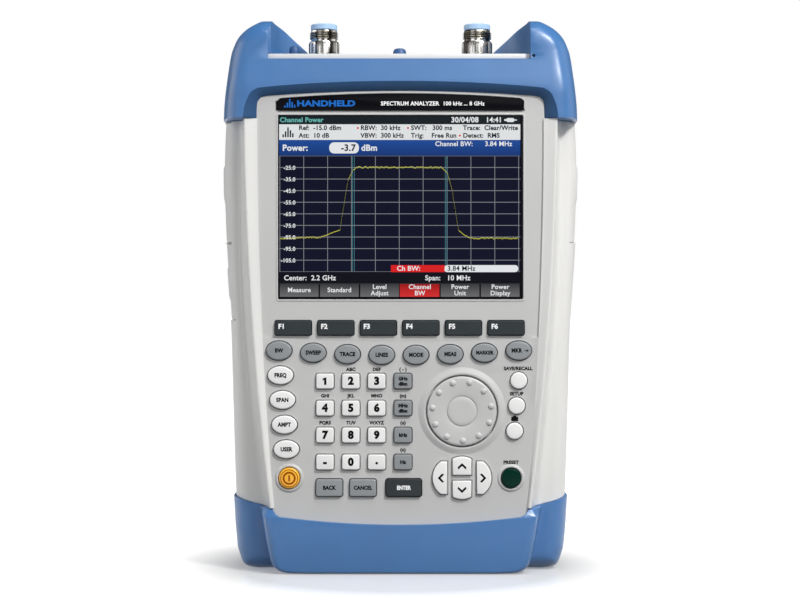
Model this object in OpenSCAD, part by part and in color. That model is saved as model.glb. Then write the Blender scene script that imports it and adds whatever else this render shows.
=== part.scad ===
// Handheld spectrum analyzer: a tapered grey case between two blue bumpers, with a keypad face.
// +Z up, +X right as seen from the front, the face looks towards -Y. Millimetres.
// The origin is the middle of the underside.

/* [Case] */
// Depth over both bumpers
case_depth = 69; // [66:1:72]
// Half width of the case at its widest, level with the upper screen
case_half_w = 98.2; // [97:0.1:99]
// Wall of the two case halves
wall = 2.4; // [2:0.1:3]
// Y of the joint line between the case halves
seam_y = 2; // [0:0.5:4]
// Level where the top bumper starts
top_bumper_z = 245.3; // [244:0.1:246]
// Level of the connector panel
panel_z = 280.3; // [279:0.1:282]

/* [Face] */
// Rim's half width under the top bumper
rim_half_w = 83.8; // [83:0.1:84.5]
// Half width of the flat inside the rim
flat_half_w = 77.1; // [76:0.1:78]
// How far the keypad field lies behind the bumpers
field_depth = 3.3; // [3:0.1:4]
// How much deeper the screen zone lies than the keypad field
zone_step = 1; // [0.6:0.1:1.2]
// Width of the screen window
window_w = 131.7; // [130:0.1:132]
// Height of the screen window
window_h = 98.9; // [98:0.1:99.5]
// Lower edge of the screen window
window_z = 147.9; // [147:0.1:149]

/* [Keys] */
// Travel of each key
key_travel = 1.2; // [0.6:0.1:1.2]
// Gap round each key
key_gap = 0.35; // [0.3:0.05:0.5]
// How far keys stand out of the face
key_proud = 1.8; // [1.4:0.1:2]
// Pitch of the softkeys under the screen
soft_pitch = 22.9; // [22:0.1:23.2]
// Pitch of the mode keys in the arched row
mode_pitch = 18.4; // [18:0.1:18.6]
// Column pitch of the digit keys
digit_pitch_x = 13.9; // [13.5:0.1:14.2]
// Row pitch of the digit keys
digit_pitch_z = 14.5; // [14:0.1:14.8]

/* [Wheel] */
// Diameter of the selection wheel
wheel_d = 37.4; // [36:0.1:37.6]
// Gap between wheel and case
wheel_gap = 0.75; // [0.5:0.05:1]
// Number of finger dots on the wheel
wheel_dots = 11; // [8:1:14]

/* [Connectors] */
// Distance of each RF connector from the middle
rf_x = 42.4; // [41:0.1:43]
// Outside radius of the RF connector's thread
rf_thread_r = 7.94; // [7.9:0.01:7.98]

/* [Hidden] */
KEYS_SOFT = ["key_f1", "key_f2", "key_f3", "key_f4", "key_f5", "key_f6"];
KEYS_MODE = ["key_bw", "key_sweep", "key_trace", "key_lines", "key_mode", "key_meas",
    "key_marker", "key_marker_to"];
KEYS_SIDE = ["key_freq", "key_span", "key_ampt", "key_user"];
KEYS_DIGIT = ["key_1", "key_2", "key_3", "key_4", "key_5", "key_6", "key_7", "key_8", "key_9",
    "key_minus", "key_0", "key_point"];
KEYS_CURSOR = ["key_left", "key_up", "key_down", "key_right"];

GREY = [0.86, 0.86, 0.85];
BLUE = [0.42, 0.60, 0.80];
DARK_BLUE = [0.17, 0.30, 0.50];
WHITE = [0.93, 0.93, 0.93];
MID_GREY = [0.62, 0.64, 0.67];
SLATE = [0.20, 0.24, 0.27];

$fn = 64;
EPS = 0.02;
front_y = -case_depth / 2;
back_y = case_depth / 2;
field_y = front_y + field_depth;
zone_y = field_y + zone_step;
rim_y = front_y + 1.5;
inner_y = -28;
wing_y = -16;
core_inset = 3;
panel_half_w = 70;
panel_t = 2.8;
clear = 0.3;

// Half outlines run up the +X side as [x, z].
CASE_SIDE = [[84, 6], [88, 12], [90.4, 24], [91.2, 42], [92.7, 96.5], [93.7, 134], [95, 150],
    [96.9, 180], [case_half_w, 215], [97.2, 245], [95.6, 262], [92.5, 277]];
TOP_SIDE = [[98, 220], [97.6, 246], [96.8, 256], [95, 267], [93, 280], [91.4, 285.4], [88.7, 290.9],
    [83.7, 296.4], [76.5, 299.6], [73, 300]];
BOTTOM_SIDE = [[78, 0], [84.5, 1.2], [87.2, 4], [88.8, 9], [90.2, 15], [91.9, 40], [93, 74]];

// [y, inset] rings of the shell: full size in the middle, rounded to front and back.
FRONT_RINGS = [[wing_y, 9], [wing_y + 0.8, 6], [wing_y + 3, 3], [wing_y + 7, 1], [wing_y + 12, 0.2],
    [0, 0], [seam_y, 0]];
BACK_RINGS = [[seam_y, 0], [14, 0], [22, 1], [28, 3.4], [31.5, 6.5], [back_y - 1, 11]];
BUMPER_RINGS = [[front_y + EPS, 9.5], [front_y + 1.2, 6.8], [front_y + 4.5, 4], [front_y + 11, 1.6],
    [front_y + 20, 0.3], [-10, 0], [14, 0], [22, 1], [28, 3.4], [32, 6.6], [back_y, 10]];
WING_RINGS = [[wing_y - 1.6, 8.5], [wing_y - 0.6, 5.5], [wing_y + 2, 2.6], [wing_y + 6, 0.8], [-4, 0],
    [14, 0], [22, 0.6], [28, 2.2], [32, 4.6], [back_y, 7.4]];

function mirrored(side) = concat(side, [for (i = [len(side) - 1:-1:0]) [-side[i][0], side[i][1]]]);
// 0 at the top bumper, 1 at the bottom bumper
function down(z) = (243.9 - z) / 208;
function rim_x(z) = rim_half_w - 2 * down(z) - 12 * pow(down(z), 2);
function flat_x(z) = flat_half_w - 9.1 * pow(down(z), 2);
function rounded(w, h, r, n = 5) = [for (c = [0:3]) for (i = [0:n])
    let (a = 90 * c + 90 * i / n, sx = (c == 0 || c == 3) ? 1 : -1, sz = c < 2 ? 1 : -1)
    [sx * (w / 2 - r) + r * cos(a), sz * (h / 2 - r) + r * sin(a)]];
function arc(x0, x1, z_mid, rise, n = 12) = [for (i = [0:n])
    let (x = x0 + (x1 - x0) * i / n, u = 2 * i / n - 1) [x, z_mid + rise * u * u]];

// Extrudes an XZ outline from y0 back to y1.
module along_y(y0, y1) {
    translate([0, y1, 0]) rotate([90, 0, 0]) linear_extrude(y1 - y0) children();
}

// Skins an outline through its rings.
module shell(outline, rings, more = 0) {
    hull() for (ring = rings)
        along_y(ring[0] - EPS, ring[0]) offset(delta = -ring[1] - more) polygon(outline);
}

module box(x, y, z) {
    translate([x[0], y[0], z[0]]) cube([x[1] - x[0], y[1] - y[0], z[1] - z[0]]);
}

module rod(x, z, y0, y1, r) {
    translate([x, y1, z]) rotate([90, 0, 0]) cylinder(r = r, h = y1 - y0);
}

// ---- keys: where they are and their outlines ----

SOFT_AT = [for (i = [0:5]) [(i - 2.5) * soft_pitch - 0.5, 132.4]];
MODE_AT = [for (i = [0:7]) [(i - 3.5) * mode_pitch - 0.9, 117.8 + 2.4 * pow((i - 3.5) / 3.5, 2)]];
SIDE_AT = [for (i = [0:3]) [-64.5 + 1.05 * i, 106.9 - 13.25 * i]];
DIGIT_AT = [for (i = [0:11]) [-40.6 + digit_pitch_x * (i % 3), 103.8 - digit_pitch_z * floor(i / 3)]];
UNIT_AT = [for (i = [0:3]) [1.3, 103.8 - digit_pitch_z * i]];
ROUND_AT = [for (i = [0:2]) [63.5 - 1.1 * i, 104.1 - 13.55 * i]];
POWER_AT = [-59.8, 51.7];
PRESET_AT = [59.4, 51.7];
BACK_AT = [-38.3, 46.5];
CANCEL_AT = [-20.2, 46.5];
ENTER_AT = [1.7, 46.5];
CURSOR_AT = [33, 51.8];
WHEEL_AT = [33, 87.7];

module soft_shape(g = 0) { polygon(rounded(19.4 + 2 * g, 7.6 + 2 * g, 0.8 + g)); }
module mode_shape(g = 0) { scale([(13.7 + 2 * g) / (10.1 + 2 * g), 1]) circle(d = 10.1 + 2 * g); }
module side_shape(g = 0) { scale([(13.7 + 2 * g) / (9.8 + 2 * g), 1]) circle(d = 9.8 + 2 * g); }
module digit_shape(g = 0) { polygon(rounded(9.4 + 2 * g, 8.1 + 2 * g, 1.1 + g)); }
module wide_shape(g = 0) { polygon(rounded(14.2 + 2 * g, 9.2 + 2 * g, 1.2 + g)); }
module enter_shape(g = 0) { polygon(rounded(19 + 2 * g, 9.4 + 2 * g, 1.2 + g)); }
module dot_shape(d, g = 0) { circle(d = d + 2 * g); }

// Each cursor key is a slice of one round pad; i counts left, up, down, right.
module cursor_shape(i, g = 0) {
    if (i == 0 || i == 3) intersection() {
        translate([(i == 0 ? -1 : 1) * 5.1, 0]) circle(r = 10.8 + g);
        translate([(i == 0 ? -1 : 1) * 15.9, 0]) square([16 + 2 * g, 17.6 + 2 * g], center = true);
    }
    else intersection() {
        translate([0, (i == 1 ? 1 : -1) * 1.4]) circle(r = 10.1 + g);
        translate([0, (i == 1 ? 1 : -1) * 6.5]) square([10.2 + 2 * g, 10 + 2 * g], center = true);
    }
}

flange_y = inner_y + 0.2;
flange_t = 1;

// A key: cap through the face, with a flange that holds it in from behind.
module key(at, y_front) {
    translate([at[0], 0, at[1]]) {
        along_y(y_front, flange_y + flange_t) children(0);
        along_y(flange_y, flange_y + flange_t) children(1);
    }
}

module soft_key(i) {
    color(SLATE) key(SOFT_AT[i], zone_y - key_proud) { soft_shape(); soft_shape(0.8); }
}
module mode_key(i) {
    color(MID_GREY) key(MODE_AT[i], field_y - key_proud) { mode_shape(); mode_shape(0.9); }
}
module side_key(i) {
    color(WHITE) key(SIDE_AT[i], field_y - key_proud) { side_shape(); side_shape(0.9); }
}
module digit_key(i) {
    color(WHITE) key(DIGIT_AT[i], field_y - key_proud) { digit_shape(); digit_shape(0.9); }
}
module cursor_key(i) {
    color(WHITE) key(CURSOR_AT, field_y - key_proud) { cursor_shape(i); cursor_shape(i, 0.7); }
}
module unit_keys() {
    color(MID_GREY) for (at = UNIT_AT) key(at, field_y - key_proud) { digit_shape(); digit_shape(0.9); }
}
module round_keys() {
    color(WHITE) for (at = ROUND_AT) key(at, field_y - key_proud) { dot_shape(9); dot_shape(9, 0.9); }
}
module back_cancel_keys() {
    color(MID_GREY) for (at = [BACK_AT, CANCEL_AT])
        key(at, field_y - key_proud) { wide_shape(); wide_shape(0.9); }
}
module key_enter() {
    color(SLATE) key(ENTER_AT, field_y - key_proud) { enter_shape(); enter_shape(0.9); }
}
module key_power() {
    color([0.96, 0.70, 0.15]) key(POWER_AT, field_y - key_proud) { dot_shape(11.2); dot_shape(11.2, 0.9); }
}
module key_preset() {
    color([0, 0.22, 0.16]) key(PRESET_AT, field_y - key_proud) { dot_shape(10.5); dot_shape(10.5, 0.9); }
}

// Every opening the keys pass through, g wider than the keys.
module key_openings(g) {
    for (at = SOFT_AT) translate(at) soft_shape(g);
    for (at = MODE_AT) translate(at) mode_shape(g);
    for (at = SIDE_AT) translate(at) side_shape(g);
    for (at = concat(DIGIT_AT, UNIT_AT)) translate(at) digit_shape(g);
    for (at = ROUND_AT) translate(at) dot_shape(9, g);
    for (at = [BACK_AT, CANCEL_AT]) translate(at) wide_shape(g);
    translate(ENTER_AT) enter_shape(g);
    translate(POWER_AT) dot_shape(11.2, g);
    translate(PRESET_AT) dot_shape(10.5, g);
    for (i = [0:3]) translate(CURSOR_AT) cursor_shape(i, g);
}

// ---- case halves ----

face_low_z = 8;
rim_low_z = 35.5;
face_top_z = 274;
FLAP_Y = [-13.8, 26];
FLAPS = [[-1, [179, 244.6]], [-1, [136.5, 178.2]], [1, [179, 244.6]]];
rf_body_r = 6.3;
aux_stem_r = 3;
AUX_AT = [[-59, 4], [-0.5, 0]];
// Screws: x, z, front end of the boss
SCREW_AT = [for (s = [-1, 1]) each [[s * 73.6, 258, inner_y - 0.5], [s * 80, 60, wing_y + 2]]];

function screw_tip(at) = max(at[2] + 3.6, seam_y - 15);

RIM_LEVELS = [for (i = [0:20]) rim_low_z + (top_bumper_z - clear - rim_low_z) * i / 20];
RIM = mirrored([for (z = RIM_LEVELS) [rim_x(z), z]]);
RIM_FOOT = mirrored([for (z = RIM_LEVELS) [rim_x(z) + 2.6, z]]);
FLAT = mirrored([for (z = [20:10:250]) [flat_x(z), z]]);
FLAT_FRONT = mirrored([for (z = [20:10:250]) [rim_x(z) - 0.8, z]]);
NECK = mirrored([[79.5, 200], [79.5, 262], [76, face_top_z]]);
CHIN = mirrored([[62, face_low_z], [68.6, rim_low_z], [68.6, 44]]);
HOLLOW = mirrored([for (z = [12:12:264]) [z < 38 ? 60 : flat_x(z) + 0.5, z]]);
FIELD = concat(arc(-90, 90, 125.2, 2.9), [[90, 0], [-90, 0]]);

module side_box(side, z, g = 0) {
    box(side > 0 ? [80, 110] : [-110, -80], [FLAP_Y[0] - 2 * g, FLAP_Y[1] + g], [z[0] - g, z[1] + g]);
}

module window_shape(g = 0) {
    translate([0, window_z + window_h / 2]) square([window_w + 2 * g, window_h + 2 * g], center = true);
}

// Holes for what stands on the connector panel
module panel_holes() {
    for (x = [-rf_x, rf_x]) translate([x, 0, 262]) cylinder(r = rf_body_r + 0.1, h = 30);
    for (a = AUX_AT) translate([a[0], a[1], 262]) cylinder(r = aux_stem_r + 0.1, h = 30);
}

// Shallow side recesses that the flaps close.
module flap_recesses() {
    difference() {
        for (f = FLAPS) side_box(f[0], f[1], 0.25);
        shell(mirrored(CASE_SIDE), concat(FRONT_RINGS, BACK_RINGS), 2.7);
    }
}

module case_outer(rings) {
    intersection() {
        shell(mirrored(CASE_SIDE), rings);
        along_y(-40, 40) polygon([[-110, top_bumper_z - clear], [-110, 41.3], [-92, 40.3], [-74, 35.7],
            [74, 35.7], [92, 40.3], [110, 41.3], [110, top_bumper_z - clear]]);
    }
    shell(mirrored(CASE_SIDE), rings, core_inset);
}

module front_housing() {
    color(GREY) difference() {
        union() {
            case_outer(FRONT_RINGS);
            hull() {
                along_y(rim_y, rim_y + EPS) polygon(RIM);
                along_y(wing_y + 2, wing_y + 2 + EPS) polygon(RIM_FOOT);
            }
            along_y(zone_y, wing_y + 2) polygon(NECK);
            along_y(field_y, wing_y + 2) polygon(CHIN);
        }
        // face, recessed inside the bevelled rim
        hull() {
            along_y(rim_y - 1, rim_y - 1 + EPS) polygon(FLAT_FRONT);
            along_y(field_y - EPS, field_y) polygon(FLAT);
        }
        along_y(field_y - EPS, zone_y) difference() {
            intersection() {
                polygon(FLAT);
                translate([-100, 100]) square([200, top_bumper_z - 100 - clear]);
            }
            polygon(FIELD);
        }
        // hollow
        shell(mirrored(CASE_SIDE), [[wing_y + wall, 9], [wing_y + 7, 2], [0, 0], [seam_y + 1, 0]],
            core_inset + wall);
        along_y(inner_y, wing_y + 6) polygon(HOLLOW);
        along_y(-40, 0) key_openings(key_gap);
        along_y(-40, -20) window_shape(-2.5);
        along_y(-40, zone_y + 1) window_shape(0.15);
        rod(WHEEL_AT[0], WHEEL_AT[1], -40, -15, wheel_d / 2 + wheel_gap);
        flap_recesses();
        panel_holes();
        box([-110, 110], [seam_y - 0.05, 40], [-10, 320]);
    }
    color(GREY) wheel_well();
    color(GREY) key_collars();
    color(GREY) for (at = SCREW_AT) difference() {
        rod(at[0], at[1], at[2], seam_y - 0.05, 4.2);
        rod(at[0], at[1], screw_tip(at) - 1, seam_y + 1, 1.3);
    }
}

// Raised collar and shallow pan for the wheel, with its shaft hole.
module wheel_well() {
    translate([WHEEL_AT[0], 0, WHEEL_AT[1]]) rotate([90, 0, 0]) difference() {
        union() {
            translate([0, 0, -inner_y - 1.2]) cylinder(r = 21, h = -field_y + inner_y + 1.2);
            translate([0, 0, -field_y - EPS]) cylinder(r1 = 23.6, r2 = 20.4, h = 1.1);
        }
        translate([0, 0, 29.3]) cylinder(r = wheel_d / 2 + wheel_gap, h = 10);
        cylinder(r = 3.3, h = 60, center = true);
    }
}

// Low rings round the power and preset keys.
module key_collars() {
    for (c = [[POWER_AT, 14.5, 11.2], [PRESET_AT, 13.9, 10.5]]) difference() {
        translate([c[0][0], field_y + 0.5, c[0][1]]) rotate([90, 0, 0])
            cylinder(r1 = c[1] / 2 + 0.6, r2 = c[1] / 2 - 0.5, h = 1.3);
        rod(c[0][0], c[0][1], -40, -20, c[2] / 2 + key_gap);
    }
}

skirt_z = 270;
stand_half_w = 58;
STAND_Z = [124, 238];
stand_y = 29.2;
hinge_z = 232;
COVER_X = 56;
COVER_Z = [46, 114];

module rear_housing() {
    color(GREY) difference() {
        union() {
            case_outer(BACK_RINGS);
            // connector panel and its skirt
            box([-panel_half_w - 6, panel_half_w + 6], [front_y + 6.5, 24], [panel_z - panel_t, panel_z]);
            difference() {
                box([-panel_half_w - 6, panel_half_w + 6], [seam_y, 24], [skirt_z, panel_z]);
                box([-panel_half_w - 3.6, panel_half_w + 3.6], [0, 21.6], [skirt_z - 1, panel_z - panel_t]);
            }
        }
        difference() {
            shell(mirrored(CASE_SIDE), [[seam_y - 1, 0], [14, 0], [22, 1], [27, 3.4], [30, 6.5]],
                core_inset + wall);
            // solid floor of the stand's recess
            box([-stand_half_w - 4, stand_half_w + 4], [stand_y - 3, 40], [STAND_Z[0] - 4, STAND_Z[1] + 4]);
            for (at = SCREW_AT) rod(at[0], at[1], seam_y, 40, 4.2);
            // battery tray
            difference() {
                box([-COVER_X + 1, COVER_X - 1], [3.6, 40], [COVER_Z[0] + 1, COVER_Z[1] - 1]);
                box([-COVER_X + 3, COVER_X - 3], [5.6, 41], [COVER_Z[0] + 3, COVER_Z[1] - 3]);
            }
        }
        // stand recess, battery opening, side sockets
        box([-stand_half_w - 0.8, stand_half_w + 0.8], [stand_y - 0.4, 40],
            [STAND_Z[0] - 0.8, STAND_Z[1] + 0.8]);
        box([-COVER_X + 3, COVER_X - 3], [10, 40], [COVER_Z[0] + 3, COVER_Z[1] - 3]);
        box([-COVER_X - 0.3, COVER_X + 0.3], [back_y - 3.4, 40], [COVER_Z[0] - 0.3, COVER_Z[1] + 0.3]);
        for (s = SOCKETS) box(s[0] > 0 ? [80, 110] : [-110, -80], [s[2][0] - 0.4, s[2][1] + 0.4],
            [s[1] - s[3] / 2 - 0.4, s[1] + s[3] / 2 + 0.4]);
        for (at = SCREW_AT) {
            rod(at[0], at[1], -10, 40, 1.7);
            rod(at[0], at[1], back_y - 6, 40, 3.2);
        }
        panel_holes();
        flap_recesses();
        box([-110, 110], [-40, seam_y + 0.05], [-10, panel_z - panel_t - 0.01]);
    }
    // hinge pins for the stand
    color(GREY) for (s = [-1, 1]) translate([s * (stand_half_w - 9), stand_y + 2.6, hinge_z]) rotate([0, 90, 0])
        cylinder(r = 1.5, h = 22, center = true);
}

// ---- bumpers ----

ARCH = [for (p = arc(-72.5, 72.5, 260, -2.7)) p];
OPENING = concat([[-77.7, 230], [-77.4, 252], [-75.6, 255.8]], ARCH, [[75.6, 255.8], [77.4, 252], [77.7, 230]]);
CREASE = concat([[-85.6, 230], [-84.2, 249.5], [-81.8, 256.5], [-79.6, 259.6], [-76.5, 261.5]],
    arc(-72, 72, 266.3, -4.2), [[76.5, 261.5], [79.6, 259.6], [81.8, 256.5], [84.2, 249.5], [85.6, 230]]);
SADDLE = [[-panel_half_w, 340], [-panel_half_w, panel_z - panel_t - 0.3],
    [panel_half_w, panel_z - panel_t - 0.3], [panel_half_w, 340]];
// The ears' inner walls swing in towards the back and fall away in a curve.
EAR_PLAN = [[44, 24.1], [50, 22], [58, 16], [64, 8], [68, -2], [70, -15], [panel_half_w, front_y + 6.3]];
EAR_FALL = mirrored([[46, panel_z + 0.3], [50, 284.8], [55, 289.2], [60, 293.3], [64.5, 297], [68, 298.9],
    [72.5, 300.1], [73, 340]]);

module top_bumper() {
    color(BLUE) difference() {
        shell(mirrored(TOP_SIDE), BUMPER_RINGS);
        box([-110, 110], [-40, 40], [200, top_bumper_z]);
        // the case inside
        shell(mirrored(CASE_SIDE), concat(FRONT_RINGS, BACK_RINGS), core_inset - 0.1);
        along_y(zone_y - 0.1, 0) polygon(mirrored([[79.6, 230], [79.6, 262.1], [76.1, face_top_z + 0.1]]));
        box([-panel_half_w - 6.1, panel_half_w + 6.1], [seam_y - 0.1, 24.1], [skirt_z - 1, panel_z]);
        box([-panel_half_w - 6.1, panel_half_w + 6.1], [front_y + 6.3, 24.1], [face_top_z - 1, panel_z]);
        // face opening with its chamfer
        along_y(-40, wing_y) polygon(OPENING);
        hull() {
            along_y(front_y - 0.5, front_y) polygon(CREASE);
            along_y(zone_y - 0.6, zone_y - 0.5) polygon(OPENING);
        }
        // saddle between the ears, over the connector panel
        box([-76.1, 76.1], [front_y + 6.3, 24.1], [panel_z - panel_t - 0.1, panel_z + 0.1]);
        translate([0, 0, panel_z]) linear_extrude(60)
            polygon(concat(EAR_PLAN, [for (i = [len(EAR_PLAN) - 1:-1:0]) [-EAR_PLAN[i][0], EAR_PLAN[i][1]]]));
        along_y(-40, front_y + 6.4) polygon(SADDLE);
        along_y(-40, 40) polygon(EAR_FALL);
        // lanyard eye
        rod(panel_half_w + 1.6, 278.8, -40, -24, 0.9);
    }
}

BELLY = mirrored([[66, 0], [69.4, 3], [75.4, 36]]);

module bottom_bumper() {
    color(BLUE) difference() {
        union() {
            shell(mirrored(BOTTOM_SIDE), WING_RINGS);
            hull() {
                along_y(front_y, front_y + EPS) offset(delta = -1.6) polygon(BELLY);
                along_y(front_y + 1, front_y + 1 + EPS) offset(delta = -0.4) polygon(BELLY);
                along_y(front_y + 3, front_y + 3 + EPS) polygon(BELLY);
                along_y(wing_y + 4, wing_y + 4 + EPS) polygon(mirrored([[68, 0], [71.4, 3], [78, 36]]));
            }
        }
        // the case inside
        shell(mirrored(CASE_SIDE), concat(FRONT_RINGS, BACK_RINGS), core_inset - 0.1);
        along_y(field_y - 0.1, wing_y + 3) polygon(mirrored([[62.1, face_low_z - 0.1],
            [68.8, rim_low_z], [68.8, 60]]));
        // curved upper edge over the face, then the rim, then the wings
        along_y(-40, wing_y + 2.1) polygon(concat([[-68.4, 60], [-68.4, 34], [-66.8, 31.8]],
            arc(-64.8, 64.8, 26.6, 4.2), [[66.8, 31.8], [68.4, 34], [68.4, 60]]));
        box([-100, 100], [-40, wing_y - 1.7], [rim_low_z - 0.2, 60]);
        along_y(-40, 40) polygon([[-100, 90], [-100, 40.9], [-92, 40], [-74, 35.4], [74, 35.4], [92, 40],
            [100, 40.9], [100, 90]]);
    }
}

// ---- screen and electronics ----

module display_window() {
    color([0.05, 0.05, 0.06]) {
        along_y(zone_y - 0.3, zone_y + 0.9) window_shape();
        // title bar over the window
        along_y(zone_y - 0.7, zone_y) polygon(concat([[66.3, 250], [65.5, 249.2], [-65.5, 249.2], [-66.3, 250],
            [-66.3, 254.6], [-65, 255.8]], arc(-63.5, 63.5, 258.5, -2.5, 8), [[65, 255.8], [66.3, 254.6]]));
    }
}

module lcd_module() {
    color([0.25, 0.26, 0.28]) {
        along_y(zone_y + 1, inner_y + 1) window_shape(-2.8);
        box([-72, 72], [inner_y + 0.1, -20.5], [143.5, 251]);
    }
}

// Side sockets: side, centre Z, Y range, height
SOCKETS = [[-1, 229, [5, 20], 15], [-1, 205, [6, 13], 14], [-1, 158, [6, 11], 26], [1, 229, [6, 16], 10],
    [1, 207, [7, 15], 8], [1, 192, [7, 15], 8]];

module circuit_boards() {
    color([0.10, 0.35, 0.22]) {
        // main board and the RF shield cans on it
        along_y(-8, -6.4) polygon(mirrored([[58, 16], [61, 120], [72, 138], [72, 250]]));
        box([-66, -8], [-6.4, 1.5], [196, 248]);
        box([-2, 66], [-6.4, 1.5], [196, 248]);
        box([-58, 58], [-6.4, 1.5], [122, 188]);
        // boards that carry the side sockets
        box([-72, -70], [-6.4, 21], [142, 240]);
        box([70, 72], [-6.4, 21], [184, 240]);
        // keypad board, with the wheel's encoder
        difference() {
            along_y(-23.6, -22) polygon(mirrored([[57, 38], [68, 122]]));
            rod(WHEEL_AT[0], WHEEL_AT[1], -40, -10, 4);
        }
        difference() {
            box([WHEEL_AT[0] - 8, WHEEL_AT[0] + 8], [-22, -15], [WHEEL_AT[1] - 8, WHEEL_AT[1] + 8]);
            rod(WHEEL_AT[0], WHEEL_AT[1], -40, -17.5, 3.05);
        }
        for (s = SOCKETS) difference() {
            box(s[0] > 0 ? [72, 91.5] : [-91.5, -72], s[2], [s[1] - s[3] / 2, s[1] + s[3] / 2]);
            box(s[0] > 0 ? [88.5, 95] : [-95, -88.5], [s[2][0] + 1.2, s[2][1] - 1.2],
                [s[1] - s[3] / 2 + 1.2, s[1] + s[3] / 2 - 1.2]);
        }
    }
}

module keypad_mat() {
    color([0.75, 0.75, 0.74]) difference() {
        along_y(-25.1, -23.7) polygon(mirrored([[58, 38], [72, 136]]));
        rod(WHEEL_AT[0], WHEEL_AT[1], -40, -10, 6);
    }
}

module battery_pack() {
    color([0.15, 0.15, 0.17]) box([-COVER_X + 6, COVER_X - 6], [6, 29], [COVER_Z[0] + 6, COVER_Z[1] - 6]);
}

module battery_cover() {
    color(GREY) {
        box([-COVER_X, COVER_X], [back_y - 3.2, back_y - 1], COVER_Z);
        box([-COVER_X + 4, COVER_X - 4], [back_y - 5.2, back_y - 3.1], [COVER_Z[0] + 4, COVER_Z[1] - 4]);
    }
}

module tilt_stand() {
    color(GREY) difference() {
        union() {
            box([-stand_half_w, stand_half_w], [stand_y, back_y - 1.2], [STAND_Z[0], hinge_z - 6]);
            for (s = [-1, 1]) translate([s * (stand_half_w - 12), 0, 0]) {
                box([-9, 9], [stand_y, back_y - 1.2], [hinge_z - 8, hinge_z]);
                translate([0, stand_y + 2.6, hinge_z]) rotate([0, 90, 0])
                    cylinder(r = 2.55, h = 18, center = true);
            }
        }
        for (s = [-1, 1]) translate([s * (stand_half_w - 12), stand_y + 2.6, hinge_z]) rotate([0, 90, 0])
            cylinder(r = 1.56, h = 40, center = true);
        // finger pull at the foot
        rod(0, STAND_Z[0], back_y - 3.2, 50, 12);
    }
}

module flap(f) {
    color(GREY) intersection() {
        difference() {
            shell(mirrored(CASE_SIDE), concat(FRONT_RINGS, BACK_RINGS));
            shell(mirrored(CASE_SIDE), concat(FRONT_RINGS, BACK_RINGS), 2);
        }
        side_box(f[0], f[1]);
    }
}
module left_upper_flap() { flap(FLAPS[0]); }
module left_lower_flap() { flap(FLAPS[1]); }
module right_flap() { flap(FLAPS[2]); }

// ---- wheel ----

module jog_wheel() {
    color(GREY) translate([WHEEL_AT[0], 0, WHEEL_AT[1]]) rotate([90, 0, 0]) {
        difference() {
            translate([0, 0, 29.7]) cylinder(r = wheel_d / 2, h = 3.6);
            difference() {
                translate([0, 0, 32.7]) cylinder(r = wheel_d / 2 - 5.6, h = 5);
                cylinder(r = 7.95, h = 60);
            }
        }
        for (i = [0:wheel_dots - 1]) rotate(75.4 + i * 360 / wheel_dots)
            translate([16.1, 0, 33]) cylinder(r1 = 1.9, r2 = 1.2, h = 0.8);
        translate([0, 0, 18]) cylinder(r = 3, h = 12);
    }
}

// ---- connectors on the panel ----

module rf_connectors() {
    color([0.75, 0.72, 0.66]) for (x = [-rf_x, rf_x]) translate([x, 0, 0]) difference() {
        union() {
            translate([0, 0, panel_z - 14]) cylinder(r = rf_body_r, h = 16);
            translate([0, 0, panel_z + 0.02]) cylinder(r = 8.4, h = 9.9);
            translate([0, 0, panel_z + 9]) cylinder(r = 7.2, h = 2.8);
            translate([0, 0, panel_z + 11.2]) cylinder(r = rf_thread_r, h = 5);
            translate([0, 0, panel_z - 6]) cylinder(r = 8.4, h = 6 - panel_t - 0.02);
        }
        difference() {
            translate([0, 0, panel_z + 8]) cylinder(r = 4.2, h = 20);
            cylinder(r = 1.5, h = panel_z + 13);
        }
    }
}

module rf_cap(x) {
    color(BLUE) translate([x, 0, panel_z]) difference() {
        union() {
            translate([0, 0, 16.3]) cylinder(r = 7.3, h = 3.4);
            translate([0, 0, 9]) cylinder(r = 4.1, h = 7.4);
        }
        translate([0, 0, 8]) cylinder(r = 1.7, h = 6);
    }
}
module rf_cap_left() { rf_cap(-rf_x); }
module rf_cap_right() { rf_cap(rf_x); }

module aux_caps() {
    color(DARK_BLUE) {
        translate([AUX_AT[0][0], AUX_AT[0][1], panel_z + 0.02]) {
            cylinder(r = 5, h = 1.9);
            cylinder(r = 2.8, h = 8.4);
            translate([0, 0, -7]) cylinder(r = aux_stem_r, h = 7.5);
        }
        translate([AUX_AT[1][0], AUX_AT[1][1], panel_z + 0.02]) {
            cylinder(r = 6.3, h = 1.4);
            cylinder(r1 = 3.9, r2 = 2.6, h = 6.4);
            translate([0, 0, -7]) cylinder(r = aux_stem_r, h = 7.5);
        }
    }
}

module screws() {
    color([0.55, 0.56, 0.58]) for (at = SCREW_AT) difference() {
        union() {
            rod(at[0], at[1], back_y - 6, back_y - 3.6, 2.9);
            rod(at[0], at[1], screw_tip(at), back_y - 5, 1.25);
        }
        translate([at[0], back_y - 3, at[1]]) rotate([90, 30, 0]) cylinder(r = 1.4, h = 2.2, $fn = 6);
    }
}

front_housing();
rear_housing();
top_bumper();
bottom_bumper();
display_window();
lcd_module();
circuit_boards();
keypad_mat();
battery_pack();
battery_cover();
tilt_stand();
jog_wheel();
left_upper_flap();
left_lower_flap();
right_flap();
rf_connectors();
rf_cap_left();
rf_cap_right();
aux_caps();
screws();
key_power();
key_preset();
key_enter();
back_cancel_keys();
unit_keys();
round_keys();
for (i = [0:5]) soft_key(i);
for (i = [0:7]) mode_key(i);
for (i = [0:3]) side_key(i);
for (i = [0:11]) digit_key(i);
for (i = [0:3]) cursor_key(i);
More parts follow.
